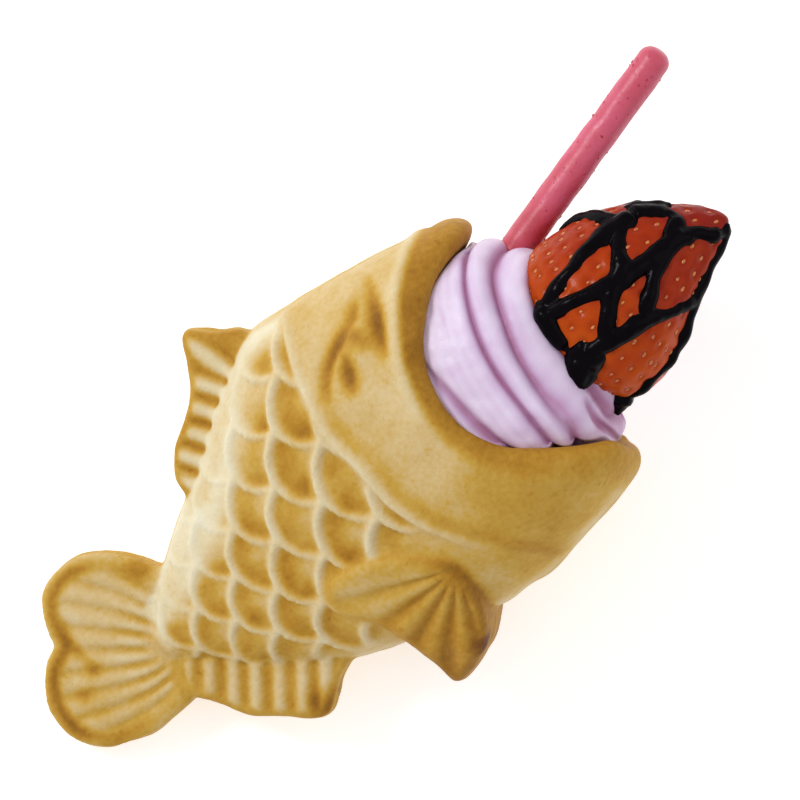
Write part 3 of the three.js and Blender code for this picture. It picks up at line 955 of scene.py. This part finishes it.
# the ice cream fills the hollow and domes out of the mouth in two piped bands
iceCream = {
    "shoulder": 98, "top": 127, "bulge": 3.6, "gap": 0.3,
    "columns": 380, "floorRows": 14, "throatRows": 40, "domeRows": 120, "domeRadius": 27,
    "pitch": 7.3, "starts": 2, "foldDepth": 2.3,
    # here, in degrees round from the dorsal edge, the bands run together
    "meetAt": 103, "meetAngle": 155, "meetSpan": 24, "meetPull": 1.8,
    # the folds sweep forward from the sides to the edges: dorsal ones low and high, ventral ones
    "dorsalSweep": (5, 1.4), "dorsalChange": (107, 117), "ventralSweep": 3, "edgeSweep": 3.2,
    # one fold is drawn forward and one is wide: degrees round and distance along, each with its width
    "drawnFold": ((100, 30), (112, 5)), "drawnPull": 1.6, "wideFold": ((118, 20), (111.4, 3.6)),
    # degrees between which the first fold is smoothed over
    "smoothed": ((-45, -10), (160, 130)),
    # short folds besides the piped ones: distance along, degrees round
    "shortFolds": [
        [(92.8, 70), (94, 86), (94.8, 98), (96.8, 112), (99.6, 126)],
        [(117.4, 126), (116.4, 138), (116, 156), (114.5, 172)],
    ],
    "shortFoldShare": 0.8, "shortFoldWidth": 1.2, "millimetresPerDegree": 0.4, "firstFold": 14,
    # it swells inside the rim until it is nearly level with the lips, less so at their tips
    "swell": 3.7, "edgeSwell": 0.6, "swellStart": -6.5, "swellFull": -1.2, "sinkStart": 104, "sinkEnd": 118,
    "sink": 0.3, "lumps": [(0.3, 16, 11), (0.08, 5, 12)], "teeth": 3, "stripeDepth": 0.03,
    "foldsFrom": (84, 89),  # so far along the folds fade in
    # painted shade makes it darker against the lips, where a fold is wide and, from these degrees, on the
    # ventral side
    "patches": [(0.06, 9, 13)], "lipTint": 0.12, "wideTint": 0.12, "ventralTint": 0.1,
    "ventralFrom": (60, 130),
    "patch": 11, "grain": 0.8, "roughness": (0.36, 0.52), "grainDepth": 0.09,
    # colours by how deep in a fold a place is, the folds darker as the ice cream's own deeper pink and as
    # painted shade, and how much that varies in patches
    "ramp": [
        (0, (233, 217, 241)), (0.16, (224, 202, 231)), (0.42, (207, 176, 211)), (0.72, (190, 140, 177)),
        (1, (176, 116, 156)),
    ],
    "patchTint": (-0.06, 0.08),
}


# the same curve with its points an even distance apart
def evenly(points, count):
    points = np.asarray(points, float)
    length = np.concatenate([[0], np.cumsum(np.linalg.norm(np.diff(points, axis=0), axis=1))])
    wanted = np.linspace(0, length[-1], count)
    return np.stack([np.interp(wanted, length, column) for column in points.T], axis=1)


# distances along the dome, each with the share of its width that is left there
def domeProfile():
    turn = np.linspace(0, math.pi / 2, 4000)
    power = 2 / iceCream["bulge"]
    along = mix(iceCream["shoulder"], iceCream["top"], np.sin(turn) ** power)
    radius = iceCream["domeRadius"]
    outline = np.stack([along, radius * np.cos(turn) ** power], axis=1)
    return evenly(outline, iceCream["domeRows"]) / (1, radius)


def swellAt(along, angle):
    risen = smoothStep(iceCream["swellStart"], iceCream["swellFull"], along - rimAt(angle))
    later = rimAt(angle) - mouth["corner"]
    sunk = smoothStep(iceCream["sinkStart"] + 0.5 * later, iceCream["sinkEnd"] + 0.3 * later, along)
    return iceCream["swell"] * mix(iceCream["edgeSwell"], 1, np.abs(np.sin(angle))) * risen * (1 - sunk)


# strongest at one fold on the dome and falling off round it
def aboutFold(degrees, along, fold, amount=1):
    (turn, turnWidth), (place, placeWidth) = fold
    return amount * bell(degrees - turn, turnWidth) * bell(along - place, placeWidth)


# 1 in the folds between the piped bands, 0 on their crests; and the bands' phase
def foldAt(along, angle):
    degrees = np.degrees(angle)
    across = along - iceCream["meetAt"]
    near = bell(degrees - iceCream["meetAngle"], iceCream["meetSpan"])
    drawn = along + iceCream["meetPull"] * near * across * bell(across, 9)
    drawn += aboutFold(degrees, along, iceCream["drawnFold"], iceCream["drawnPull"])
    dorsal = mix(*iceCream["dorsalSweep"], smoothStep(*iceCream["dorsalChange"], along))
    sweep = np.where(np.cos(angle) > 0, dorsal, iceCream["ventralSweep"])
    drawn = drawn - sweep * np.abs(np.cos(angle)) ** 1.5
    drawn = drawn - iceCream["edgeSweep"] * np.maximum(np.cos(angle), 0) ** 3
    phase = tau * drawn / iceCream["pitch"] + iceCream["starts"] * angle
    fold = 1 - np.abs(np.sin(phase / 2))
    # the first fold is smoothed over on the upper side
    rise, fall = iceCream["smoothed"]
    smoothed = smoothStep(*rise, degrees) * smoothStep(*fall, degrees)
    fold = fold * (1 - smoothed * smoothStep(0.6, 0.35, phase / tau - iceCream["firstFold"]))
    return fold, phase


def makeIceCream():
    angles = anglesRound(iceCream["columns"])
    inset = mouth["wall"] + iceCream["gap"]
    rings = hollowRings(angles, iceCream["gap"], iceCream["floorRows"])
    throat = np.linspace(mouth["floorStart"], iceCream["shoulder"], iceCream["throatRows"])[1:-1]
    for along, shrink in [(along, 1) for along in throat] + list(domeProfile()[:-1]):
        rings.append(wallPoint(along, angles, inset - swellAt(along, angles), shrink))
    angle = np.concatenate([[0], np.tile((angles + math.pi) % tau - math.pi, len(rings)), [0]])
    first, last = middleAt(mouth["floor"] + iceCream["gap"]), middleAt(iceCream["top"])
    points, faces = ringSkin(rings, first, last)
    piece = newPiece("ice_cream_swirl", points, faces)
    mesh = piece.data
    along, degrees = points[:, 0], np.degrees(angle)
    fold, phase = foldAt(along, angle)
    wide = aboutFold(degrees, along, iceCream["wideFold"])
    groove = fold ** mix(1.6, 0.9, wide) * (1 - 0.2 * wide)
    span = iceCream["millimetresPerDegree"]
    for line in iceCream["shortFolds"]:
        drawn = [(place, turn * span) for place, turn in line]
        short = strokeField(drawn, along, degrees * span, iceCream["shortFoldWidth"])
        groove = np.maximum(groove, iceCream["shortFoldShare"] * short)
    # fine stripes from the nozzle's teeth
    stripes = iceCream["stripeDepth"] * (1 + np.cos(iceCream["teeth"] * phase))
    drop = iceCream["foldDepth"] * groove + stripes * (1 - fold)
    drop += iceCream["sink"] + uneven(points, iceCream["lumps"])
    emboss(mesh, points, readNormals(mesh), -drop * smoothStep(*iceCream["foldsFrom"], along))
    # how dark the colour is: the folds' deeper pink with painted shade in them, the nozzle's stripes,
    # random patches, and painted shade where a fold is wide
    toneAndShade = groove + stripes + uneven(points, iceCream["patches"]) + iceCream["wideTint"] * wide
    # painted shade against the lips and on the ventral side
    toneAndShade += iceCream["lipTint"] * bell(along - rimAt(angle) - 0.2, 1)
    toneAndShade += iceCream["ventralTint"] * smoothStep(*iceCream["ventralFrom"], degrees)
    addAttribute(mesh, "fold", np.clip(toneAndShade, 0, mix(0.92, 0.6, wide)))
    print("ice cream piped:", len(mesh.polygons), "faces")
    return piece


def makeIceFinish():
    finish = Finish("berry_soft_serve", Subsurface_Weight=0.25, Subsurface_Scale=0.003,
                    Subsurface_Radius=(1, 0.55, 0.75), Specular_IOR_Level=0.35)
    patches, grain = finish.mottled(iceCream["patch"], iceCream["grain"])
    deep = finish.math("ADD", finish.stored("fold"), finish.spread(patches, *iceCream["patchTint"]))
    colour = finish.ramp(deep, iceCream["ramp"])
    return finish.grained(colour, grain, iceCream)


iceCreamPiece = makeIceCream()
iceCreamPiece.data.materials.append(makeIceFinish())


berry = {
    "start": 112, "widest": 127, "tip": 165.3, "radius": 20.8, "flatness": 0.9, "centre": (-0.4, 3),
    "bend": 4, "blunt": 0.2, "taperPower": 1.4, "shoulderPower": 1.85, "columns": 260, "rows": 150,
    "seedRows": 18, "seedGap": 3.5, "seedUneven": (0.25, 0.03), "seedsFrom": 116, "seedLift": 0.06,
    "seedSize": (1.35, 0.85, 0.55), "dimpleDepth": 0.5, "dimpleWidth": 1.15,
    "swell": 0.02, "lumps": [(0.25, 15, 31)],
    "ramp": [(0, (188, 74, 7)), (0.45, (173, 54, 6)), (0.8, (152, 39, 11)), (1, (140, 31, 20))],
    # it ripens from the shoulder to the tip, and sooner on its dorsal side
    "ripeSpan": (112, 170), "ripeSlant": 0.25, "ripePatches": 0.3,
    "dimpleShade": 0.4, "dimpleColour": (150, 34, 12),
    # seedSizes is how much the seeds differ in size
    "seedColours": ((166, 62, 18), (228, 142, 64)), "seedRoughness": 0.35, "seedGrain": (5, 0.6),
    "seedSizes": 0.18,
    "patch": 9, "grain": 0.7, "roughness": (0.26, 0.42), "grainDepth": 0.05,
}


# how far a place is from the widest part to the tip, from 0 to 1
def berryFore(along):
    return np.clip((along - berry["widest"]) / (berry["tip"] - berry["widest"]), 0, 1)


def berryRadius(along):
    fore = berryFore(along)
    aft = np.clip((berry["widest"] - along) / (berry["widest"] - berry["start"]), 0, 1)
    tapered = mix((1 - fore**2) ** berry["taperPower"], (1 - fore**8) ** 0.5, berry["blunt"])
    return berry["radius"] * np.where(fore > 0, tapered, (1 - aft ** berry["shoulderPower"]) ** 0.5)


def berryPoint(along, angle, lift=0.0):
    along, angle = np.broadcast_arrays(np.asarray(along, float), np.asarray(angle, float))
    fore = berryFore(along)
    rise = berry["centre"][0] + berry["bend"] * np.sin(math.pi * fore) * fore
    radius = berryRadius(along) + lift
    side = berry["centre"][1] + radius * berry["flatness"] * np.sin(angle)
    return np.stack([along, rise + radius * np.cos(angle), side], axis=-1)


def berryNormal(along, angle):
    step = 0.05
    ahead = berryPoint(along + step, angle) - berryPoint(along - step, angle)
    aside = berryPoint(along, angle + step) - berryPoint(along, angle - step)
    normal = np.cross(aside, ahead)
    return normal / np.linalg.norm(normal, axis=-1)[..., None]


def berryProfile(count):
    turn = np.linspace(0, math.pi, 4000)
    along = mix(berry["start"], berry["tip"], (1 - np.cos(turn)) / 2)
    return evenly(np.stack([along, berryRadius(along)], axis=1), count)


# seeds sit in rows round the berry, each row half a step on from the last
def seedPlaces():
    random = np.random.default_rng(21)
    places = []
    unevenAlong, unevenAngle = berry["seedUneven"]
    for index, (along, radius) in enumerate(berryProfile(berry["seedRows"])[1:-1]):
        count = max(4, round(tau * radius * 0.95 / berry["seedGap"]))
        for number in range(count):
            angle = (number + index % 2 / 2) / count * tau + random.normal(0, unevenAngle)
            places.append((along + random.normal(0, unevenAlong), angle))
    return np.array(places)


# how far the flesh bulges out from the plain berry
def berryBulge(points):
    return uneven(points, berry["lumps"]) + berry["swell"]


def nearestGap(points, targets):
    tree = KDTree(len(targets))
    for index, target in enumerate(targets):
        tree.insert(target, index)
    tree.balance()
    return np.array([tree.find(point)[2] for point in points])


def makeBerry(places):
    angles = anglesRound(berry["columns"])
    rings = [berryPoint(along, angles) for along, _ in berryProfile(berry["rows"])[1:-1]]
    points, faces = ringSkin(rings, berryPoint(berry["start"], 0.0), berryPoint(berry["tip"], 0.0))
    piece = newPiece("strawberry_flesh", points, faces)
    mesh = piece.data
    dimple = bell(nearestGap(points, berryPoint(*places.T)), berry["dimpleWidth"])
    emboss(mesh, points, readNormals(mesh), berryBulge(points) - berry["dimpleDepth"] * dimple)
    addAttribute(mesh, "dimple", dimple)
    ripened = points[:, 0] + berry["ripeSlant"] * points[:, 1]
    addAttribute(mesh, "ripe", smoothStep(*berry["ripeSpan"], ripened))
    print("strawberry grown:", len(mesh.polygons), "faces")
    return piece


def makeBerryFinish():
    finish = Finish("strawberry_skin", Subsurface_Weight=0.1, Subsurface_Scale=0.002,
                    Subsurface_Radius=(1, 0.3, 0.12), Coat_Weight=0.07, Coat_Roughness=0.08,
                    Specular_IOR_Level=0.09)
    patches, grain = finish.mottled(berry["patch"], berry["grain"])
    share = berry["ripePatches"]
    ripe = finish.math("ADD", finish.stored("ripe"), finish.spread(patches, -share, share))
    dimple = finish.math("MULTIPLY", finish.stored("dimple"), berry["dimpleShade"])
    colour = finish.blend(dimple, finish.ramp(ripe, berry["ramp"]), tone(*berry["dimpleColour"]))
    return finish.grained(colour, grain, berry)


seeds = seedPlaces()
berryPiece = makeBerry(seeds)
berryPiece.data.materials.append(makeBerryFinish())


def newTree(name, **inputs):
    sockets = {"Geometry": "Geometry", **inputs, "Material": "Material"}
    return newGroup(name, "GeometryNodeTree", sockets, {"Geometry": "Geometry"})


def named(tree, name, kind):
    return addNode(tree, "GeometryNodeInputNamedAttribute", {"Name": name}, data_type=kind)["Attribute"]


# the end of each tree: plain meshes in their own material
def finishTree(tree, geometry, given, result):
    real = addNode(tree, "GeometryNodeRealizeInstances", {"Geometry": geometry})["Geometry"]
    shaded = addNode(tree, "GeometryNodeSetShadeSmooth", {"Geometry": real})["Geometry"]
    dressed = addNode(tree, "GeometryNodeSetMaterial", {"Geometry": shaded, "Material": given["Material"]})
    tree.links.new(dressed["Geometry"], result["Geometry"])
    return tree


# small rounded bits on a mesh's points, turned by the vectors that are stored there
def makeBitsTree():
    tree, given, result = newTree("scatteredBits", Size="Vector", Unevenness="Float", Seed="Int")
    uneven = given["Unevenness"]
    bit = addNode(tree, "GeometryNodeMeshUVSphere", {"Segments": 8, "Rings": 5, "Radius": 0.5})["Mesh"]
    shaped = addNode(tree, "GeometryNodeTransform", {"Geometry": bit, "Scale": given["Size"]})["Geometry"]
    least = addNode(tree, "ShaderNodeMath", {0: 1, 1: uneven}, operation="SUBTRACT")[0]
    most = addNode(tree, "ShaderNodeMath", {0: 1, 1: uneven}, operation="ADD")[0]
    sizes = addNode(tree, "FunctionNodeRandomValue", {"Min": least, "Max": most, "Seed": given["Seed"]})
    axes = {0: named(tree, "facing", "FLOAT_VECTOR"), 1: named(tree, "towards", "FLOAT_VECTOR")}
    turned = addNode(tree, "FunctionNodeAxesToRotation", axes, primary_axis="Z", secondary_axis="X")[0]
    bits = addNode(tree, "GeometryNodeInstanceOnPoints", {
        "Points": given["Geometry"], "Instance": shaped, "Rotation": turned, "Scale": sizes["Value"],
    })
    return finishTree(tree, bits["Instances"], given, result)


bitsTree = makeBitsTree()


# runs a node tree on an object, keeps the plain mesh that comes out
def grown(piece, tree, **values):
    modifier = piece.modifiers.new(tree.name, "NODES")
    modifier.node_group = tree
    for item in tree.interface.items_tree:
        if item.in_out == "INPUT" and item.name.replace(" ", "") in values:
            modifier[item.identifier] = values[item.name.replace(" ", "")]
    return applied(piece)


# bits on points in the fish's own frame; facing is the way up, towards the way that they lie
def scatter(name, points, facing, towards, size, unevenness, seed, material):
    mesh = bpy.data.meshes.new(name)
    mesh.vertices.add(len(points))
    writePoints(mesh, toRow(points))
    for attribute, vectors in (("facing", facing), ("towards", towards)):
        addAttribute(mesh, attribute, (toRow(vectors) - toRow(np.zeros((1, 3)))) / mm)
    piece = addObject(name, mesh)
    grown(piece, bitsTree, Size=tuple(side * mm for side in size), Unevenness=unevenness, Seed=seed,
          Material=material)
    print(name, "scattered:", len(piece.data.polygons), "faces")
    return piece


def makeSeeds(places):
    finish = Finish("strawberry_seed", Coat_Weight=0.3)
    _, grain = finish.mottled(*berry["seedGrain"])
    material = finish.done(finish.twoTones(grain, *berry["seedColours"]), berry["seedRoughness"])
    along, angle = places[places[:, 0] > berry["seedsFrom"]].T
    facing, points = berryNormal(along, angle), berryPoint(along, angle)
    lift = berryBulge(points) - berry["dimpleDepth"] + berry["seedLift"]
    towards = berryPoint(along + 0.1, angle) - berryPoint(along - 0.1, angle)
    return scatter("strawberry_seeds", points + facing * lift[:, None], facing, towards,
                   berry["seedSize"], berry["seedSizes"], 5, material)


seedPiece = makeSeeds(seeds)


# each strand lies on the berry: distance along it, degrees round it from the dorsal side towards
# the upper side, and how thick it is there
drizzle = {
    "sink": 0.58, "voxel": 0.32, "softenRounds": 5, "thicker": 1.2, "taper": 1.8, "roundness": 16,
    "swell": 0.16, "lumps": [(0.12, 4, 43)], "beads": [(0.1, 9, 41)],
    "strands": [
        [(120.6, 64, 1.5), (124.2, 62, 1.7), (131.9, 55, 1.7), (140.2, 47, 2), (146.4, 41, 2.5),
         (150.5, 31, 1.9)],
        [(120.4, 68, 1.5), (124, 71, 1.7), (132.1, 76, 1.7), (138.6, 83, 2.1), (144, 85, 2.2),
         (150.6, 87, 2.1), (155.1, 88, 1.7), (159, 97, 1.6), (162.6, 150, 1.6)],
        [(120.8, 106, 2), (125.4, 106, 2), (131.9, 110, 2.2), (137.9, 116, 1.8), (142.7, 128, 1.7),
         (147.5, 150, 1.7), (148.4, 166, 1.9)],
        [(146.4, 41, 2.2), (142.9, 66, 1.6), (141.4, 76, 2.1), (134.9, 90, 1.8), (130.8, 101, 1.9),
         (128, 108, 1.7)],
        [(156.7, 42, 1.7), (156.4, 60, 1.9), (154.6, 80, 2.3), (151.6, 91, 1.6), (146.8, 99, 1.5),
         (142.9, 108, 1.7), (138.4, 114, 1.7)],
        [(164.6, 150, 1.5), (162.4, 185, 1.6), (158, 170, 1.6), (152.6, 160, 1.8), (147.5, 162, 2),
         (142, 168, 1.9), (136.4, 166, 1.7), (130.8, 160, 1.6), (125.8, 162, 1.8), (122, 164.5, 2.3),
         (119.6, 167, 2.6), (118, 168.5, 2.3)],
        [(132.2, -6, 1.3), (137.2, 0, 1.5), (141.4, 12, 1.6), (146.4, 41, 2)],
        [(147.7, 15, 1.7), (152.3, 18, 1.8), (157, 12, 1.5)],
        [(121.4, 57, 1.2), (120.3, 65, 1.8), (119.8, 76, 1.8), (119.7, 87, 1.6), (120.4, 98, 1.8)],
        [(148, 33, 1.8), (150.8, 30, 2.1), (153.8, 32, 2.1), (156.7, 42, 1.9)],
    ],
    # blobs that run down onto the ice cream
    "drips": [
        [(126.2, 104, 1.9), (123.4, 103, 2.5), (120.8, 106, 2.9), (118.6, 114, 2.5), (116.8, 123, 1.5)],
        [(128, 107.5, 1.8), (123, 112, 2.5), (119.8, 119, 2), (117.2, 124.5, 1.3)],
    ],
    # these strands are mirrored on the under side, shifted along and round, and thinner
    "farStrands": [0, 1, 2, 3, 4], "farShift": (1.5, 12), "farThinner": 0.9,
    "colours": ((4, 2, 5), (9, 6, 11)),
    "patch": 6, "grain": 1.2, "roughness": (0.16, 0.34), "grainDepth": 0.12,
}


# how far from the berry's middle the ice cream's surface is, where it is higher than the berry
def iceReach(along, angle):
    reach = np.linspace(8, 32, 240)
    height = np.clip((along - iceCream["shoulder"]) / (iceCream["top"] - iceCream["shoulder"]), 0, 1)
    shrink = (1 - height ** iceCream["bulge"]) ** (1 / iceCream["bulge"])
    top, bottom, side = sectionAt(np.array(along))
    inset = mouth["wall"] + iceCream["gap"] + 0.4
    v = berry["centre"][0] + reach * math.cos(angle) - (top + bottom) / 2
    w = berry["centre"][1] + reach * berry["flatness"] * math.sin(angle)
    power = body["roundness"]
    level = np.abs(v / (((top - bottom) / 2 - inset) * shrink + 1e-6)) ** power
    level += np.abs(w / ((side - inset) * shrink + 1e-6)) ** power
    inside = reach[level <= 1]
    return inside[-1] if len(inside) else 0.0


def strandPoints(knots):
    points = throughPoints(knots)
    along, angle, thick = points[:, 0], np.radians(points[:, 1]), points[:, 2] * drizzle["thicker"]
    steps = np.linalg.norm(np.diff(berryPoint(along, angle), axis=0), axis=1)
    walked = np.concatenate([[0], np.cumsum(steps)])
    fromEnd = np.minimum(walked, walked[-1] - walked)
    thick *= np.sqrt(np.clip(fromEnd / drizzle["taper"], 0.12, 1))
    wobble = 1 + uneven(berryPoint(along, angle), drizzle["beads"])
    radius = berryRadius(along)
    lift = np.array([max(iceReach(a, t) - r, 0) for a, t, r in zip(along, angle, radius)])
    sink = drizzle["sink"] * thick
    return berryPoint(along, angle, lift) - berryNormal(along, angle) * sink[:, None], thick * wobble


def allStrands():
    shift = drizzle["farShift"]
    strands = drizzle["strands"] + drizzle["drips"]
    for index in drizzle["farStrands"]:
        strands = strands + [[
            (along + shift[0], shift[1] - angle, thick * drizzle["farThinner"])
            for along, angle, thick in drizzle["strands"][index]
        ]]
    return [strandPoints(knots) for knots in strands]


# sweeps a round profile along a mesh's edges, as thick as its points say
def makeStrandTree():
    tree, given, result = newTree("pouredStrands", Roundness="Int")
    path = addNode(tree, "GeometryNodeMeshToCurve", {"Mesh": given["Geometry"]})["Curve"]
    circle = {"Resolution": given["Roundness"], "Radius": 1}
    swept = addNode(tree, "GeometryNodeCurveToMesh", {
        "Curve": path, "Profile Curve": addNode(tree, "GeometryNodeCurvePrimitiveCircle", circle)["Curve"],
        "Scale": named(tree, "thick", "FLOAT"), "Fill Caps": True,
    })
    return finishTree(tree, swept["Mesh"], given, result)


def makeDrizzle(material):
    points, edges, thick, start = [], [], [], 0
    for centre, radius in allStrands():
        points.append(centre)
        thick.append(radius)
        edges += [(start + index, start + index + 1) for index in range(len(centre) - 1)]
        start += len(centre)
    mesh = bpy.data.meshes.new("chocolate_drizzle")
    mesh.from_pydata(np.concatenate(points).tolist(), edges, [])
    addAttribute(mesh, "thick", np.concatenate(thick))
    piece = addObject("chocolate_drizzle", mesh)
    grown(piece, makeStrandTree(), Roundness=drizzle["roundness"], Material=material)
    remeshed(piece, drizzle["voxel"])
    mesh = piece.data
    placed = soften(mesh, readPoints(mesh), drizzle["softenRounds"])
    height = drizzle["swell"] + uneven(placed, drizzle["lumps"])
    emboss(mesh, placed, soften(mesh, readNormals(mesh), 2), height)
    mesh.materials.clear()
    mesh.materials.append(material)
    mesh.shade_smooth()
    print("chocolate poured:", len(mesh.polygons), "faces")
    return piece


def makeChocolateFinish():
    finish = Finish("dark_chocolate", Coat_Weight=0.04, Coat_Roughness=0.05, Specular_IOR_Level=0.03)
    patches, grain = finish.mottled(drizzle["patch"], drizzle["grain"])
    return finish.grained(finish.twoTones(patches, *drizzle["colours"]), grain, drizzle, gloss=patches)


drizzlePiece = makeDrizzle(makeChocolateFinish())


stick = {
    "from": (113.5, 20.4, -4.2), "to": (174.6, 38.9, -6.2), "diameter": 8.1,
    "endRadius": 3.2, "footRadius": 0.8, "columns": 72, "rows": 260,
    # the plain form's radius is this much less, to leave room for the coat's lumps
    "slimmer": 0.12, "lumps": [(0.13, 17, 51), (0.05, 6, 52)],
    "specks": 130, "speckSpan": (0.06, 0.93), "speckSink": 0.16, "speckSize": (0.6, 0.4, 0.26),
    "speckSizes": 0.5, "speckGrain": (4, 0.5),
    "ramp": [(0, (182, 56, 68)), (0.3, (204, 76, 98)), (0.6, (212, 88, 116)), (1, (204, 76, 100))],
    "fleckColour": (166, 34, 44), "speckColours": ((160, 34, 52), (192, 58, 76)), "speckRoughness": 0.6,
    "patch": 7, "grain": 0.9, "fleck": 1.6, "roughness": (0.34, 0.5), "grainDepth": 0.1, "patchShare": 0.22,
    # flecks show where the noise is over this, and so strongly
    "fleckGrain": 0.5, "fleckFrom": (0.64, 0.74), "fleckShare": 0.55,
}


def stickAxes():
    start = np.array(stick["from"])
    way = np.array(stick["to"]) - start
    length = np.linalg.norm(way)
    way /= length
    side = np.cross(way, (0, 0, 1))
    side /= np.linalg.norm(side)
    return start, way, side, np.cross(way, side), length


# distances along the stick, each with its radius there
def stickProfile(length):
    radius, end, foot = stick["diameter"] / 2 - stick["slimmer"], stick["endRadius"], stick["footRadius"]
    turn = np.linspace(0, math.pi / 2, 60)
    start = np.stack([foot * (1 - np.sin(turn)), radius - foot * (1 - np.cos(turn))], axis=1)[::-1]
    tip = np.stack([length - end + end * np.sin(turn), radius - end + end * np.cos(turn)], axis=1)
    return evenly(np.concatenate([[(0, 0)], start, tip, [(length, 0)]]), stick["rows"])


def makeStick():
    start, way, side, up, length = stickAxes()
    angles = anglesRound(stick["columns"])
    out = np.cos(angles)[:, None] * side + np.sin(angles)[:, None] * up
    rings = [start + along * way + radius * out for along, radius in stickProfile(length)[1:-1]]
    points, faces = ringSkin(rings, start, start + length * way)
    piece = newPiece("biscuit_stick_coated", points, faces)
    mesh = piece.data
    emboss(mesh, points, readNormals(mesh), uneven(points, stick["lumps"]))
    addAttribute(mesh, "along", (points - start) @ way / length)
    print("stick coated:", len(mesh.polygons), "faces")
    return piece


def makeStickFinish():
    finish = Finish("pink_coating", Subsurface_Weight=0.1, Subsurface_Scale=0.001, Coat_Weight=0.12,
                    Coat_Roughness=0.3)
    patches, grain = finish.mottled(stick["patch"], stick["grain"])
    fleck, _ = finish.mottled(stick["fleck"], stick["fleckGrain"])
    share = stick["patchShare"]
    place = finish.math("ADD", finish.stored("along"), finish.spread(patches, -share, share))
    colour = finish.ramp(place, stick["ramp"])
    flecked = finish.span(fleck, *stick["fleckFrom"], 0, stick["fleckShare"])
    colour = finish.blend(flecked, colour, tone(*stick["fleckColour"]))
    return finish.grained(colour, grain, stick)


def makeSpecks():
    finish = Finish("dried_berry_speck")
    _, grain = finish.mottled(*stick["speckGrain"])
    material = finish.done(finish.twoTones(grain, *stick["speckColours"]), stick["speckRoughness"])
    random = np.random.default_rng(61)
    start, way, side, up, length = stickAxes()
    count = stick["specks"]
    along = random.uniform(*stick["speckSpan"], count) * length
    angle = random.uniform(0, tau, count)
    out = np.cos(angle)[:, None] * side + np.sin(angle)[:, None] * up
    points = start + along[:, None] * way + out * (stick["diameter"] / 2 - stick["speckSink"])
    towards = np.cross(out, random.normal(size=(count, 3)))
    return scatter("stick_berry_specks", points, out, towards, stick["speckSize"], stick["speckSizes"], 7,
                   material)


stickPiece = makeStick()
stickPiece.data.materials.append(makeStickFinish())
speckPiece = makeSpecks()


# the floor and the lamps in metres, the view in millimetres
studio = {
    "floorSize": 6, "floorColour": (250, 250, 249), "floorGlow": 0.46, "sky": 0.6,
    "viewCentre": (6.64, 8.79, 25), "viewWidth": 184, "viewDistance": 1200,
    "viewRight": (0.8, -0.6, 0), "viewUp": (0.6, 0.8, 0), "sensor": 36, "clip": (0.01, 20),
    # each lamp's power, size and place from the view's centre
    "lamps": {"key": (5.2, 0.3, (-0.3, 0.75, 0.75)), "fill": (0.9, 0.8, (0.7, -0.35, 0.8))},
}


def addLamp(name, power, size, fromWhere):
    lamp = bpy.data.lights.new(name, "AREA")
    lamp.energy = power
    lamp.size = size
    light = addObject(name, lamp)
    light.location = Vector(studio["viewCentre"]) * mm + Vector(fromWhere)
    light.rotation_euler = Vector(fromWhere).to_track_quat("Z", "Y").to_euler()


def makeStudio():
    white = (1, 1, 1, 1)
    half = studio["floorSize"] / 2
    corners = [(-half, -half, 0), (half, -half, 0), (half, half, 0), (-half, half, 0)]
    floor = newPiece("floor", corners, [[0, 1, 2, 3]])
    finish = Finish("pale_floor", Emission_Color=white, Emission_Strength=studio["floorGlow"])
    floor.data.materials.append(finish.done(tone(*studio["floorColour"]), 0.9))
    for name, lamp in studio["lamps"].items():
        addLamp(name, *lamp)
    world = bpy.data.worlds.new("pale_sky")
    world.use_nodes = True
    sky = world.node_tree.nodes["Background"]
    sky.inputs["Color"].default_value = white
    sky.inputs["Strength"].default_value = studio["sky"]
    bpy.context.scene.world = world
    bpy.context.scene.view_settings.view_transform = "Standard"


def makeCamera():
    right, up = Vector(studio["viewRight"]), Vector(studio["viewUp"])
    back = right.cross(up)
    turn = Matrix((right, up, back)).transposed().to_4x4()
    data = bpy.data.cameras.new("camera")
    data.sensor_width = studio["sensor"]
    data.lens = studio["sensor"] * studio["viewDistance"] / studio["viewWidth"]
    data.clip_start, data.clip_end = studio["clip"]
    camera = addObject("camera", data)
    place = Vector(studio["viewCentre"]) * mm + back * studio["viewDistance"] * mm
    camera.matrix_world = Matrix.Translation(place) @ turn
    bpy.context.scene.camera = camera
    print("studio set up")


makeStudio()
makeCamera()

# each piece with the name of a material slot, which nothing here uses, and the part it stands for
for piece, slot, node in (
    (cone, "batter", "taiyaki_cone"),
    (iceCreamPiece, "ice_cream", "ice_cream"),
    (berryPiece, "strawberry", "strawberry"),
    (seedPiece, "strawberry", "strawberry"),
    (drizzlePiece, "strawberry", None),
    (stickPiece, "coated_biscuit", "biscuit_stick"),
    (speckPiece, "coated_biscuit", None),
):
    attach(piece, "root")
    if node:
        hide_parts(node)
